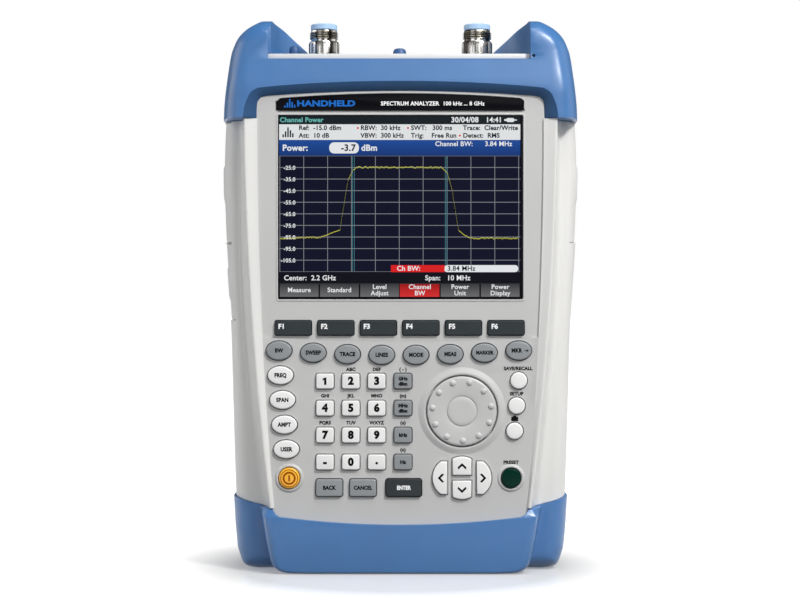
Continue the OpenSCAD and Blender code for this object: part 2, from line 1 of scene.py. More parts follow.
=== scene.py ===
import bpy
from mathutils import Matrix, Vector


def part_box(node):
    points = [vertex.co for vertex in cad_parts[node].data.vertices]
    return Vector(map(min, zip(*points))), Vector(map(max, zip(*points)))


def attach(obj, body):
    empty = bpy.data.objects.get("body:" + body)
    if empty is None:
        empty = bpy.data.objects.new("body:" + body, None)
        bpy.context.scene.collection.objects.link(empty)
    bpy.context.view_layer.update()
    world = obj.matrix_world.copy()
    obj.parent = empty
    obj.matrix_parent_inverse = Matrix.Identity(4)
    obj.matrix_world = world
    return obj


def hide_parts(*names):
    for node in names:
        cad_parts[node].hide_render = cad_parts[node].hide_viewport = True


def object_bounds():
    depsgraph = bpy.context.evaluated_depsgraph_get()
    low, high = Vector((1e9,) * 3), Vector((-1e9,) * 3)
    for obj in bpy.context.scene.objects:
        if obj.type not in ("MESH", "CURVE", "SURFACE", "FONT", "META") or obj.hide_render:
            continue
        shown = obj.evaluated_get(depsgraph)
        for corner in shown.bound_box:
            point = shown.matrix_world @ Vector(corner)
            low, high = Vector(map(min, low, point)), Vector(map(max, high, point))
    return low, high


bl_info = {
    "name": "Handheld spectrum analyzer",
    "version": (1, 0, 0),
    "blender": (4, 5, 0),
    "location": "3D View > Sidebar > Analyzer",
    "description": "Finished pieces of a handheld spectrum analyzer, built round its CAD frame",
    "category": "Object",
}

import math
import random

import bpy
from mathutils import Matrix, Vector
from mathutils.geometry import convex_hull_2d

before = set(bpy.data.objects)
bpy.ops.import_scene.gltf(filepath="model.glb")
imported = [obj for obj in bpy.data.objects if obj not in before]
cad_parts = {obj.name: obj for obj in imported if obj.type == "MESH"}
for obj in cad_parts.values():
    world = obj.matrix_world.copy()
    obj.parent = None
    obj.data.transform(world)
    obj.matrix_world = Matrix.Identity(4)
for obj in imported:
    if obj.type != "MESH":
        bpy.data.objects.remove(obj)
CAD_BOX = [list(corner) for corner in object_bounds()]

MM = 0.001
CHASSIS = "chassis"

# The frame's levels in millimetres; Y runs from the face to the back.
FRONT_Y, BACK_Y = -34.5, 34.5
FIELD_Y, ZONE_Y, CREST_Y, LINING_Y = -31.2, -30.2, -33.0, -28.7
SEAM_Y = 2.0
FOOT_Z, HEAD_Z = 35.6, 245.0
BUMPER_Z = 245.3
PANEL_Z = 280.3
BACK_Y_OUTSIDE = 34.05
BUMPER_WALL = 2.95
CASE_SIDE = [(84, 6), (88, 12), (90.4, 24), (91.2, 42), (92.7, 96.5), (93.7, 134), (95, 150), (96.9, 180),
             (98.2, 215), (97.2, 245), (95.6, 262), (92.5, 277)]
TOP_SIDE = [(97.4, 220), (96.8, 246), (96.3, 256), (95, 267), (93, 280), (91.4, 285.4), (88.7, 290.9),
            (83.7, 295.8), (76.5, 299.6), (73, 300)]
BOTTOM_SIDE = [(78, 0), (84.5, 1.2), (87.2, 4), (88.8, 9), (90.2, 15), (91.9, 40), (93, 90)]
# (y, how far the outline has drawn in)
FRONT_ROLL = [(-16, 9), (-15.2, 6), (-13, 3), (-9, 1), (-4, 0.2), (0, 0), (2, 0)]
BACK_ROLL = [(2, 0), (14, 0), (22, 1), (28, 3.4), (31.5, 6.5), (33.5, 11)]
BUMPER_ROLL = [(-34.5, 13.6), (-34.47, 12.6), (-34.3, 10.4), (-33.3, 7.2), (-30, 4.1), (-23.5, 1.6),
               (-14.5, 0.3), (-10, 0), (14, 0), (22, 1), (28, 3.4), (32, 6.6), (34, 9.4), (34.45, 11),
               (34.5, 12.4)]
WING_ROLL = [(-17.6, 10.8), (-17.5, 9.2), (-16.8, 6), (-14, 2.6), (-10, 0.8), (-4, 0), (14, 0), (22, 0.6),
             (28, 2.2), (32, 4.6), (34, 6.6), (34.5, 8.4)]
FLAP_Y = (-13.8, 26.0)
# side of the case, lower and upper edge, lower and upper end of the finger bulge
FLAPS = {"left_upper_flap": (-1, 179.0, 244.6, 201, 222), "left_lower_flap": (-1, 136.5, 178.2, 147, 166),
         "right_flap": (1, 179.0, 244.6, 201, 222)}
# side of the case, middle level, front and back, height
SOCKETS = [(-1, 229, 5, 20, 15), (-1, 205, 6, 13, 14), (-1, 158, 6, 11, 26), (1, 229, 6, 16, 10),
           (1, 207, 7, 15, 8), (1, 192, 7, 15, 8)]
SCREWS = [(73.6, 258), (-73.6, 258), (80, 60), (-80, 60)]
RF_X = 42.4
THREAD_Z, THREAD_PITCH = 11.3, 0.95
HINGE_Y, HINGE_Z = 31.8, 232
WINDOW_Z = 197.35

# The keypad: middles of the first keys, and the steps to the next ones.
KEY_TOP_Y, PRINT = -33.0, 0.02
WHEEL = (33.0, 87.7)
POWER, PRESET = (-59.8, 51.7), (59.4, 51.7)
CURSOR_PAD = (33, 51.8)
SOFTKEY_PITCH, SOFTKEY_Z = 22.9, 132.4
MODE_PITCH, MODE_Z, MODE_SAG = 18.4, 117.8, 2.4
SIDE_KEY, SIDE_STEP = (-64.5, 106.9), (1.05, 13.25)
DIGIT_X, DIGIT_Z, DIGIT_PITCH, DIGIT_DROP = -40.6, 103.8, 13.9, 14.5
UNIT_X = 1.3
ROUND_KEY, ROUND_STEP = (63.5, 104.1), (1.1, 13.55)
BACK_X, CANCEL_X, ENTER_X, LAST_ROW_Z = -38.3, -20.2, 1.7, 46.5

# The screen: its sides, the edges of its rows from the bottom up, and the graph in it.
SCREEN_X = (-65.4, 64.5)
SOFT_BAR_Z, SPAN_ROW_Z, GRAPH_ROW_Z, POWER_ROW_Z, HEADER_Z, STATUS_Z, SCREEN_TOP = (
    149.1, 156.3, 162.2, 225.1, 233.6, 242.0, 246.6)
GRAPH = (-65.0, 63.6, 162.6, 225.0)
# fine rows of the lit panel, for each metre
PANEL_ROWS = 5000


# ---- shapes as numbers ----

def between(table, at):
    """Straight-line value from a table of (at, value)."""
    if at <= table[0][0]:
        return table[0][1]
    for (a, va), (b, vb) in zip(table, table[1:]):
        if at <= b:
            return va + (vb - va) * (at - a) / (b - a)
    return table[-1][1]


HALF_WIDTH = [(z, x) for x, z in CASE_SIDE]


def side_x(z):
    """Half width of the case, with its corners eased."""
    return (between(HALF_WIDTH, z - 9) + 2 * between(HALF_WIDTH, z) + between(HALF_WIDTH, z + 9)) / 4


def down(z):
    """How far down the face a level lies: 0 at its top, about 1 at its foot."""
    return (243.9 - z) / 208


def rim_x(z):
    """Half width of the raised rim round the face."""
    return 83.8 - 2 * down(z) - 12 * down(z) ** 2


def flat_x(z):
    """Half width of the flat field inside the rim."""
    return 77.1 - 9.1 * down(z) ** 2


def curve(points, steps=4, low=None, high=None):
    """Eases a row of points with a spline through all of them."""
    out = []
    for i in range(len(points) - 1):
        p = [Vector(points[max(0, min(len(points) - 1, i + k))]) for k in (-1, 0, 1, 2)]
        for s in range(steps):
            t = s / steps
            out.append(0.5 * (2 * p[1] + (p[2] - p[0]) * t + (2 * p[0] - 5 * p[1] + 4 * p[2] - p[3]) * t * t
                              + (3 * p[1] - p[0] - 3 * p[2] + p[3]) * t ** 3))
    out.append(Vector(points[-1]))
    if low is not None:
        out = [Vector((p[0], max(low, p[1]))) for p in out]
    if high is not None:
        out = [Vector((p[0], min(high, p[1]))) for p in out]
    return [tuple(p) for p in out]


def mirrored(side):
    """A closed outline from its right-hand half."""
    return list(side) + [(-x, z) for x, z in reversed(side)]


def inward(outline, distance):
    """A closed bulging outline drawn in by a distance; every point stays on its ray from the middle."""
    points = [Vector(p) for p in outline]
    ring = [points[i] for i in convex_hull_2d(points)]
    middle = Vector(((min(p.x for p in points) + max(p.x for p in points)) / 2,
                     (min(p.y for p in points) + max(p.y for p in points)) / 2))
    walls = []
    for a, b in zip(ring, ring[1:] + ring[:1]):
        along = (b - a).normalized()
        normal = Vector((along.y, -along.x))
        if normal.dot(a - middle) < 0:
            normal = -normal
        walls.append((normal, normal.dot(a - middle) - distance))
    out = []
    for p in points:
        ray = p - middle
        reach = min(gap / normal.dot(ray) for normal, gap in walls if normal.dot(ray) > 1e-6)
        out.append(tuple(middle + ray * reach))
    return out


def rounded_box(width, height, radius, steps=6):
    """A rectangle's outline with round corners, anticlockwise."""
    out = []
    for corner in range(4):
        sx, sz = (1, -1)[corner in (1, 2)], (1, -1)[corner > 1]
        for i in range(steps + 1):
            a = math.radians(90 * corner + 90 * i / steps)
            out.append((sx * (width / 2 - radius) + radius * math.cos(a),
                        sz * (height / 2 - radius) + radius * math.sin(a)))
    return out


def ellipse(width, height, steps=48):
    """An ellipse's outline, anticlockwise."""
    return [(width / 2 * math.cos(2 * math.pi * i / steps), height / 2 * math.sin(2 * math.pi * i / steps))
            for i in range(steps)]


def moved(outline, x, z):
    """An outline with its middle at a place."""
    return [(px + x, pz + z) for px, pz in outline]


def arch(half, level, rise, steps=16):
    """Points from left to right on a shallow arch."""
    return [(-half + 2 * half * i / steps, level + rise * (2 * i / steps - 1) ** 2)
            for i in range(steps + 1)]


# ---- making and shaping pieces ----

def start():
    """Object mode with nothing selected."""
    if bpy.context.mode != "OBJECT":
        bpy.ops.object.mode_set(mode="OBJECT")
    bpy.ops.object.select_all(action="DESELECT")


def lone(obj):
    """One object selected and active."""
    start()
    obj.select_set(True)
    bpy.context.view_layer.objects.active = obj
    return obj


def edit(obj):
    """Edit mode with everything selected."""
    lone(obj)
    bpy.ops.object.mode_set(mode="EDIT")
    bpy.ops.mesh.select_mode(type="VERT")
    bpy.ops.mesh.select_all(action="SELECT")


def loft(rows, closed=True, ends=True):
    """A skin over rows of points in millimetres: a grid set on the rows, welded and capped."""
    wide = len(rows[0]) + (1 if closed else 0)
    start()
    bpy.ops.mesh.primitive_grid_add(x_subdivisions=wide - 1, y_subdivisions=len(rows) - 1)
    obj = bpy.context.object
    verts = obj.data.vertices
    if len(verts) != wide * len(rows):
        raise RuntimeError("grid has %d vertices, not %d" % (len(verts), wide * len(rows)))
    for j, row in enumerate(rows):
        for i in range(wide):
            verts[j * wide + i].co = Vector(row[i % len(row)]) * MM
    edit(obj)
    bpy.ops.mesh.remove_doubles(threshold=1e-7)
    if closed and ends:
        bpy.ops.mesh.select_all(action="SELECT")
        bpy.ops.mesh.fill_holes(sides=0)
    if closed:
        bpy.ops.mesh.select_all(action="SELECT")
        bpy.ops.mesh.normals_make_consistent(inside=False)
    start()
    return obj


def prism(outline, y0, y1):
    """A front-to-back prism on an XZ outline."""
    return loft([[(x, y, z) for x, z in outline] for y in (y0, y1)])


def skin(outline, roll, more=0.0):
    """An outline drawn in ring by ring from front to back."""
    return loft([[(x, y, z) for x, z in inward(outline, inset + more)] for y, inset in roll])


def block(x, y, z):
    """A box from its pairs of limits."""
    return prism([(x[0], z[0]), (x[1], z[0]), (x[1], z[1]), (x[0], z[1])], y[0], y[1])


def turned(profile, at, axis="Z", steps=64):
    """Spins a closed profile of (radius, height) round an upright or a front-to-back line."""
    start()
    bpy.ops.mesh.primitive_circle_add(vertices=len(profile), fill_type="NOTHING")
    obj = bpy.context.object
    for vert, (radius, height) in zip(obj.data.vertices, profile):
        vert.co = Vector((radius, 0, height)) * MM
    edit(obj)
    bpy.ops.mesh.spin(steps=steps, angle=2 * math.pi, center=(0, 0, 0), axis=(0, 0, 1))
    bpy.ops.mesh.select_all(action="SELECT")
    bpy.ops.mesh.remove_doubles(threshold=1e-6)
    bpy.ops.mesh.select_all(action="SELECT")
    bpy.ops.mesh.delete_loose(use_verts=True, use_edges=True, use_faces=False)
    bpy.ops.mesh.select_all(action="SELECT")
    bpy.ops.mesh.dissolve_degenerate(threshold=1e-7)
    bpy.ops.mesh.select_all(action="SELECT")
    bpy.ops.mesh.normals_make_consistent(inside=False)
    start()
    turn = Matrix.Rotation(math.pi / 2, 4, "X") if axis == "Y" else Matrix()
    obj.data.transform(Matrix.Translation(Vector(at) * MM) @ turn)
    return obj


def join(pieces):
    """Makes one object of several."""
    lone(pieces[0])
    for piece in pieces:
        piece.select_set(True)
    if len(pieces) > 1:
        bpy.ops.object.join()
    start()
    return pieces[0]


def cut(obj, tools, how="DIFFERENCE"):
    """Takes the tools away from a piece, or adds them to it."""
    tool = join(tools)
    lone(obj)
    step = obj.modifiers.new("cut", "BOOLEAN")
    step.object, step.operation, step.solver = tool, how, "EXACT"
    bpy.ops.object.modifier_apply(modifier="cut")
    bpy.data.objects.remove(tool)
    return obj


def bulge(obj, levels, push):
    """Slices a piece level by level and pushes its points back by push(y, z), in millimetres."""
    for level in levels:
        edit(obj)
        bpy.ops.mesh.bisect(plane_co=(0, 0, level * MM), plane_no=(0, 0, 1))
    start()
    for vert in obj.data.vertices:
        vert.co.y += push(vert.co.y / MM, vert.co.z / MM) * MM
    return obj


def soften(obj, width, segments=2, angle=40):
    """Rounds the sharp edges of a piece."""
    lone(obj)
    step = obj.modifiers.new("soften", "BEVEL")
    step.width, step.segments, step.limit_method = width * MM, segments, "ANGLE"
    step.angle_limit = math.radians(angle)
    bpy.ops.object.modifier_apply(modifier="soften")
    return obj


def level_off(obj):
    """Keeps a piece between the floor and the case's full height."""
    for vert in obj.data.vertices:
        vert.co.z = min(CAD_BOX[1][2], max(CAD_BOX[0][2], vert.co.z))
    return obj


def smooth(obj, angle=32):
    """Shades a piece smooth, with its sharp edges kept."""
    lone(obj)
    bpy.ops.object.shade_smooth_by_angle(angle=math.radians(angle))
    start()
    return obj


def millimetres(length):
    """A property's length in millimetres."""
    return round(length / MM, 4)


def done(obj, name, finish, body=CHASSIS, node=(), angle=32):
    """Names a finished piece, gives it its finish and its body."""
    smooth(obj, angle)
    obj.name = obj.data.name = name
    if finish is not None:
        obj.data.materials.clear()
        obj.data.materials.append(finish)
    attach(obj, body)
    for one in node:
        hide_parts(one)
    return obj


def lettering(words, size, x, z, y, align="CENTER", bold=0.045, stretch=1.0):
    """Flat lettering that faces forwards; x, y, z in millimetres, size is the letters' full height."""
    start()
    bpy.ops.object.text_add()
    obj = bpy.context.object
    text = obj.data
    text.body, text.size, text.align_x, text.align_y = words, size, align, "CENTER"
    text.offset, text.resolution_u, text.space_character = bold * size, 3, 1.04
    lone(obj)
    bpy.ops.object.convert(target="MESH")
    obj = bpy.context.object
    place = Matrix.Translation(Vector((x, y, z)) * MM) @ Matrix.Rotation(math.pi / 2, 4, "X")
    obj.data.transform(place @ Matrix.Diagonal((MM * stretch, MM, MM, 1)))
    return obj


def centre_of(node):
    """X and Z of a CAD node's middle, in millimetres."""
    low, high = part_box(node)
    return (low[0] + high[0]) / 2 / MM, (low[2] + high[2]) / 2 / MM


# ---- finishes ----

class Wire:
    """A node's socket that can be calculated with."""

    def __init__(self, finish, socket):
        self.finish, self.socket = finish, socket

    def _maths(self, operation, a, b):
        return self.finish.add("ShaderNodeMath", {"operation": operation}, {0: a, 1: b})[0]

    def __add__(self, other):
        return self._maths("ADD", self, other)

    __radd__ = __add__

    def __sub__(self, other):
        return self._maths("SUBTRACT", self, other)

    def __rsub__(self, other):
        return self._maths("SUBTRACT", other, self)

    def __mul__(self, other):
        return self._maths("MULTIPLY", self, other)

    __rmul__ = __mul__

    def __truediv__(self, other):
        return self._maths("DIVIDE", self, other)

    def __pow__(self, other):
        return self._maths("POWER", self, other)

    def __gt__(self, other):
        return self._maths("GREATER_THAN", self, other)

    def __lt__(self, other):
        return self._maths("LESS_THAN", self, other)

    def __mod__(self, other):
        return self._maths("FLOORED_MODULO", self, other)

    def __abs__(self):
        return self._maths("ABSOLUTE", self, 0.0)


class Finish:
    """One material and the nodes that it is made of."""

    def __init__(self, name):
        self.material = bpy.data.materials.new(name)
        self.material.use_nodes = True
        self.tree = self.material.node_tree
        self.tree.nodes.clear()
        self.shader = self.tree.nodes.new("ShaderNodeBsdfPrincipled")
        output = self.tree.nodes.new("ShaderNodeOutputMaterial")
        self.tree.links.new(self.shader.outputs[0], output.inputs[0])
        self.place = self.add("ShaderNodeTexCoord")[3]
        self.x, self.y, self.z = self.add("ShaderNodeSeparateXYZ", {}, {0: self.place})[:3]

    def add(self, kind, settings=(), sockets=()):
        """Adds a node, sets it up and feeds its sockets; gives back its outputs."""
        node = self.tree.nodes.new(kind)
        for key, value in dict(settings).items():
            setattr(node, key, value)
        for key, value in dict(sockets).items():
            self.feed(node.inputs[key], value)
        return [Wire(self, socket) for socket in node.outputs]

    def feed(self, socket, value):
        """Links a socket or sets its value; a colour of three numbers gets its alpha."""
        if isinstance(value, Wire):
            self.tree.links.new(value.socket, socket)
        elif hasattr(value, "__len__") and len(value) == 3 and len(socket.default_value) == 4:
            socket.default_value = (*value, 1)
        else:
            socket.default_value = value

    def set(self, **sockets):
        """Feeds the shader's sockets by name."""
        for key, value in sockets.items():
            self.feed(self.shader.inputs[key.replace("_", " ")], value)

    def noise(self, scale, detail=2.0, rough=0.5, stretch=None):
        """Noise from 0 to 1; scale counts features per metre."""
        place = self.place
        if stretch:
            place = self.add("ShaderNodeMapping", {}, {"Vector": place, "Scale": stretch})[0]
        return self.add("ShaderNodeTexNoise", {}, {"Vector": place, "Scale": scale, "Detail": detail,
                                                   "Roughness": rough})[0]

    def spread(self, value, low, high, to_low=0.0, to_high=1.0):
        """A value's range stretched over another one, and held inside it."""
        return self.add("ShaderNodeMapRange", {"clamp": True},
                        {0: value, 1: low, 2: high, 3: to_low, 4: to_high})[0]

    def mix(self, factor, a, b):
        """One colour going over into another."""
        return self.add("ShaderNodeMix", {"data_type": "RGBA"}, {0: factor, 6: a, 7: b})[2]

    def bump(self, height, strength, distance):
        """A normal from a height; distance is in metres."""
        return self.add("ShaderNodeBump", {}, {"Strength": strength, "Distance": distance,
                                               "Height": height})[0]


def shade(tone, by):
    """A tone made lighter or darker."""
    return tuple(min(1.0, c * by) for c in tone)


def plastic(name, tone, rough=0.42, grain=2600.0, depth=0.16, wear=0.05, coat=0.0, shine=0.4):
    """Moulded plastic: faint cloudiness, a fine spark-eroded grain and uneven gloss."""
    f = Finish(name)
    cloud = f.noise(28, 3)
    fine = f.noise(grain, 3, 0.6)
    colour = f.mix(f.spread(cloud, 0.3, 0.7), shade(tone, 1 - wear), shade(tone, 1 + wear * 0.6))
    smear = f.noise(90, 4, 0.6)
    f.set(Base_Color=colour, Roughness=f.spread(smear, 0.3, 0.7, rough - 0.05, rough + 0.06),
          Specular_IOR_Level=shine, Normal=f.bump(fine, depth, 0.00008))
    if coat:
        f.set(Coat_Weight=coat, Coat_Roughness=0.12)
    return f.material


def metal(name, tone, rough=0.25, brushed=(1, 1, 12)):
    """Turned and plated metal with fine tool marks."""
    f = Finish(name)
    marks = f.noise(900, 3, 0.6, brushed)
    stain = f.noise(160, 4, 0.65)
    colour = f.mix(f.spread(stain, 0.35, 0.75), tone, shade(tone, 0.88))
    f.set(Base_Color=colour, Metallic=1.0, Roughness=f.spread(marks, 0.3, 0.7, rough - 0.07, rough + 0.08),
          Normal=f.bump(marks, 0.12, 0.00006))
    return f.material


def plated_finish():
    """Nickel plate with painted reflections as dark upright bands on the polished barrel, and darker thread
    roots.
    """
    f = Finish("Plated_nickel")
    # painted reflection: dark upright bands in the base colour stand in for the surroundings mirrored in
    # the barrel
    painted_reflection_streak = f.spread(f.noise(300, 2, 0.5, (1, 1, 0.03)), 0.42, 0.58)
    colour = f.mix(painted_reflection_streak, (0.05, 0.045, 0.04), (0.82, 0.80, 0.76))
    # the thread roots are drawn darker
    root = f.spread(abs((f.z - (PANEL_Z + THREAD_Z) * MM) / (THREAD_PITCH * MM) % 1 - 0.45), 0.22, 0.36)
    threaded = (f.z > 291.5 * MM) * (f.z < 295.7 * MM)
    colour = f.mix(root * threaded, colour, (0.10, 0.085, 0.05))
    f.set(Base_Color=colour, Metallic=1.0, Roughness=f.spread(f.noise(160, 4, 0.65), 0.3, 0.7, 0.14, 0.26),
          Normal=f.bump(painted_reflection_streak, 0.1, 0.00006))
    return f.material


def make_finishes(tones):
    """Every finish of the object by name: name, tone, roughness, grain, depth, wear, coat, shine."""
    made = {
        "shell": plastic("Housing_grey", tones.shell, 0.4, wear=0.02),
        "plate": plastic("Face_plate_grey", tones.plate, 0.46, wear=0.02),
        "bumper": plastic("Bumper_blue", tones.bumper, 0.36, 1900, 0.22, 0.05, 0.0, 0.7),
        # painted shade: a darker copy of the bumper blue, for the chamfer above the screen
        "bumper_painted_shade": plastic("Bumper_blue_painted_shade", shade(tones.bumper, 0.45), 0.5, 1900, 0.22, 0.05,
                                0.0, 0.25),
        "flap": plastic("Flap_grey", shade(tones.shell, 0.97), 0.5, 2200, 0.2, 0.03),
        "wheel": plastic("Wheel_grey", shade(tones.plate, 1.02), 0.36, 2600, 0.12, 0.02),
        "white_key": plastic("Key_white", tones.white_key, 0.3, 2400, 0.08, 0.02, 0.15),
        "grey_key": plastic("Key_grey", tones.grey_key, 0.36, 2400, 0.12, 0.04, 0.1),
        "dark_key": plastic("Key_slate", tones.dark_key, 0.36, 2400, 0.12, 0.1, 0.0, 0.22),
        "green_key": plastic("Key_green", (0.0, 0.022, 0.014), 0.26, 2400, 0.08, 0.1, 0.0, 0.07),
        "amber_key": plastic("Key_amber", tones.amber, 0.28, 2400, 0.06, 0.03, 0.2),
        "amber_mark": plastic("Key_amber_print", (0.30, 0.06, 0.0), 0.4, 2400, 0.06, 0.06, 0.0, 0.1),
        "ink": plastic("Printing_black", (0.004, 0.004, 0.005), 0.5, 1500, 0.05, 0.2, 0.0, 0.05),
        "blue_ink": plastic("Printing_blue", (0.01, 0.13, 0.50), 0.5, 1500, 0.05, 0.05, 0.0, 0.1),
        "white_ink": plastic("Printing_white", (0.85, 0.87, 0.88), 0.5, 1500, 0.05, 0.03),
        "window": plastic("Window_black", (0.004, 0.004, 0.006), 0.2, 1200, 0.02, 0.3, 0.0, 0.04),
        "gold": metal("Contact_gold", (0.90, 0.66, 0.28), 0.24),
        "steel": metal("Screw_steel", (0.46, 0.46, 0.48), 0.3, (1, 12, 1)),
        "plug": plastic("Plug_pale_blue", tones.plug, 0.4, 2200, 0.15, 0.05),
        "dark_cap": plastic("Cap_dark_blue", tones.dark_cap, 0.48, 2000, 0.25, 0.1),
        # near-black rubber: partly the mat's own colour, partly painted shade for the gaps round the keys;
        # it also darkens the walls of the key openings
        "mat": plastic("Key_mat_rubber_and_gap_shade", (0.03, 0.03, 0.032), 0.6, 1500, 0.2, 0.06),
        "cells": plastic("Battery_wrap", (0.03, 0.03, 0.035), 0.32, 300, 0.3, 0.2, 0.3),
        "rubber": plastic("Foot_rubber", (0.03, 0.032, 0.036), 0.62, 1800, 0.35, 0.15),
    }
    board = Finish("Board_green")
    track = board.noise(260, 1, 0.4, (1, 1, 3))
    lane = board.spread(abs(track - 0.5), 0.012, 0.02)
    board.set(Base_Color=board.mix(lane, (0.06, 0.24, 0.10), (0.012, 0.09, 0.045)), Roughness=0.4,
              Normal=board.bump(lane, 0.2, 0.0001))
    made["board"] = board.material
    made["screen"] = screen_finish()
    made["plated"] = plated_finish()
    for key, tone, strength in (("glow_white", (0.90, 0.92, 0.94), 0.85),
                                ("glow_yellow", (0.62, 0.60, 0.06), 0.9),
                                ("glow_red", (0.75, 0.012, 0.012), 0.9),
                                ("glow_teal", (0.16, 0.55, 0.50), 0.8),
                                ("glow_dark", (0.004, 0.008, 0.03), 0.5),
                                ("glow_cyan", (0.10, 0.42, 0.50), 0.7)):
        made[key] = glowing("Screen_" + key[5:], tone, strength)
    return made


def glowing(name, tone, strength):
    """Lit screen ink with the panel's fine rows."""
    f = Finish(name)
    rows = f.spread(f.z * PANEL_ROWS % 1, 0.0, 1.0, 0.94, 1.0)
    f.set(Base_Color=(0.004, 0.004, 0.005), Roughness=0.25, Emission_Strength=strength,
          Specular_IOR_Level=0.06, Emission_Color=f.mix(rows, shade(tone, 0.5), tone))
    return f.material


def screen_finish():
    """The lit panel: dark rows, header, blue power row, gridded graph and softkey bar."""
    f = Finish("Screen_panel")

    def above(z):
        return f.z > z * MM

    black = (0.0, 0.0, 0.0)
    sheen = f.spread(f.z, SOFT_BAR_Z * MM, SPAN_ROW_Z * MM)
    soft_bar = f.mix(sheen, (0.16, 0.16, 0.165), (0.035, 0.036, 0.04))
    rise = f.spread(f.z, POWER_ROW_Z * MM, HEADER_Z * MM)
    power_row = f.mix(rise, (0.006, 0.04, 0.20), (0.012, 0.075, 0.34))
    colour = f.mix(above(SOFT_BAR_Z), black, soft_bar)
    for level, tone in ((SPAN_ROW_Z, (0.0015, 0.002, 0.006)), (GRAPH_ROW_Z, (0.002, 0.003, 0.018)),
                        (POWER_ROW_Z, power_row), (HEADER_Z, (0.83, 0.85, 0.86)),
                        (STATUS_Z, (0.008, 0.014, 0.018))):
        colour = f.mix(above(level), colour, tone)
    across = GRAPH[1] - GRAPH[0]
    column = abs((f.x - GRAPH[0] * MM) / (across / 10 * MM) % 1 - 0.5)
    row = abs((f.z - GRAPH[2] * MM) / ((GRAPH[3] - GRAPH[2]) / 10 * MM) % 1 - 0.5)
    lines = ((column > 0.488) + (row > 0.474)) > 0.5
    inside = above(GRAPH[2]) * (f.z < GRAPH[3] * MM)
    colour = f.mix(lines * inside, colour, (0.26, 0.28, 0.30))
    keyed = (f.z < 156.0 * MM) * above(149.0)
    gaps = abs((f.x - SCREEN_X[0] * MM) / ((SCREEN_X[1] - SCREEN_X[0]) / 6 * MM) % 1 - 0.5) > 0.481
    colour = f.mix(gaps * keyed, colour, black)
    red = keyed * (f.x > -0.4 * MM) * (f.x < 20.9 * MM)
    colour = f.mix(red, colour, f.mix(sheen, (0.75, 0.03, 0.03), (0.35, 0.004, 0.004)))
    rows = f.spread(f.z * PANEL_ROWS % 1, 0.0, 1.0, 0.93, 1.0)
    f.set(Base_Color=(0.004, 0.004, 0.005), Roughness=0.2, Emission_Strength=0.9,
          Emission_Color=f.mix(rows, black, colour), Specular_IOR_Level=0.06)
    return f.material


FINISHES = {}


def dress(obj, *keys):
    """Gives a piece several finishes, the first one all over."""
    obj.data.materials.clear()
    for key in keys:
        obj.data.materials.append(FINISHES[key])


def finish_node(name, key):
    """Puts a finish on a CAD node that stays."""
    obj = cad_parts[name]
    for slot in obj.material_slots:
        slot.material = FINISHES[key]
    if not obj.material_slots:
        obj.data.materials.append(FINISHES[key])


# ---- the case ----

def half_section(z):
    """Right-hand half of the front shell's outline at a level, from the face round to the lining."""
    wide, crest, flat = side_x(z), rim_x(z), flat_x(z)
    flare = 3.9 + 2.6 * min(1.0, down(z) * 2.2)
    out = [(0, FIELD_Y), (flat / 2, FIELD_Y), (flat, FIELD_Y)]
    out += [(flat + (crest - 1.1 - flat) * 0.5, FIELD_Y - 0.82), (crest - 1.1, -32.84),
            (crest - 0.6, -32.98), (crest - 0.15, CREST_Y), (crest + 0.25, -32.8), (crest + 0.5, -32.2)]
    for s in (0.1, 0.2, 0.32, 0.45, 0.6, 0.75, 0.88, 1.0):
        out.append((crest + 0.5 + (flare - 0.5) * s, -32.2 + 15.6 * (1 - (1 - s) ** 2.3)))
    start_x, end_x = crest + flare, wide - 9
    if end_x < start_x + 0.6:
        end_x = start_x + 0.6
    for s in (0.2, 0.5, 0.8):
        out.append((start_x + (end_x - start_x) * s, -16.6 + 0.6 * s))
    for i in range(11):
        a = math.radians(88 - 8.8 * i)
        out.append((end_x + (wide - end_x) * math.cos(a), -16 * math.sin(a)))
    out += [(wide, 1.3), (wide - 0.45, SEAM_Y - 0.05), (wide - 3, SEAM_Y - 0.05), (wide - 3, -5),
            (wide - 11.5, -12.6), (crest + flare - 2.6, -13.3), (crest - 3.4, -26), (flat - 2, LINING_Y),
            (0, LINING_Y)]
    return out


def tucked(section, face, limit):
    """The same outline drawn in under a bumper."""
    out = []
    for i, (x, y) in enumerate(section):
        if y < -16.9:
            x, y = min(x, limit + 0.02 * i), max(y, face)
        elif i < len(section) - 4:
            x, y = x - 3.1, y + 0.2
        out.append((x, y))
    return out


def wing_rise(x, z):
    """How far the case's lower edge slopes up outwards; it fades with height."""
    fade = max(0.0, 1 - max(0.0, z - FOOT_Z) / 24.4) if z > 35 else 0.0
    return max(0.0, abs(x) - 74) * 0.256 * fade


def full_row(half, z):
    """Both halves of a section as a row of points."""
    loop = half + [(-x, y) for x, y in reversed(half[1:-1])]
    return [(x, y, z + wing_rise(x, z)) for x, y in loop]


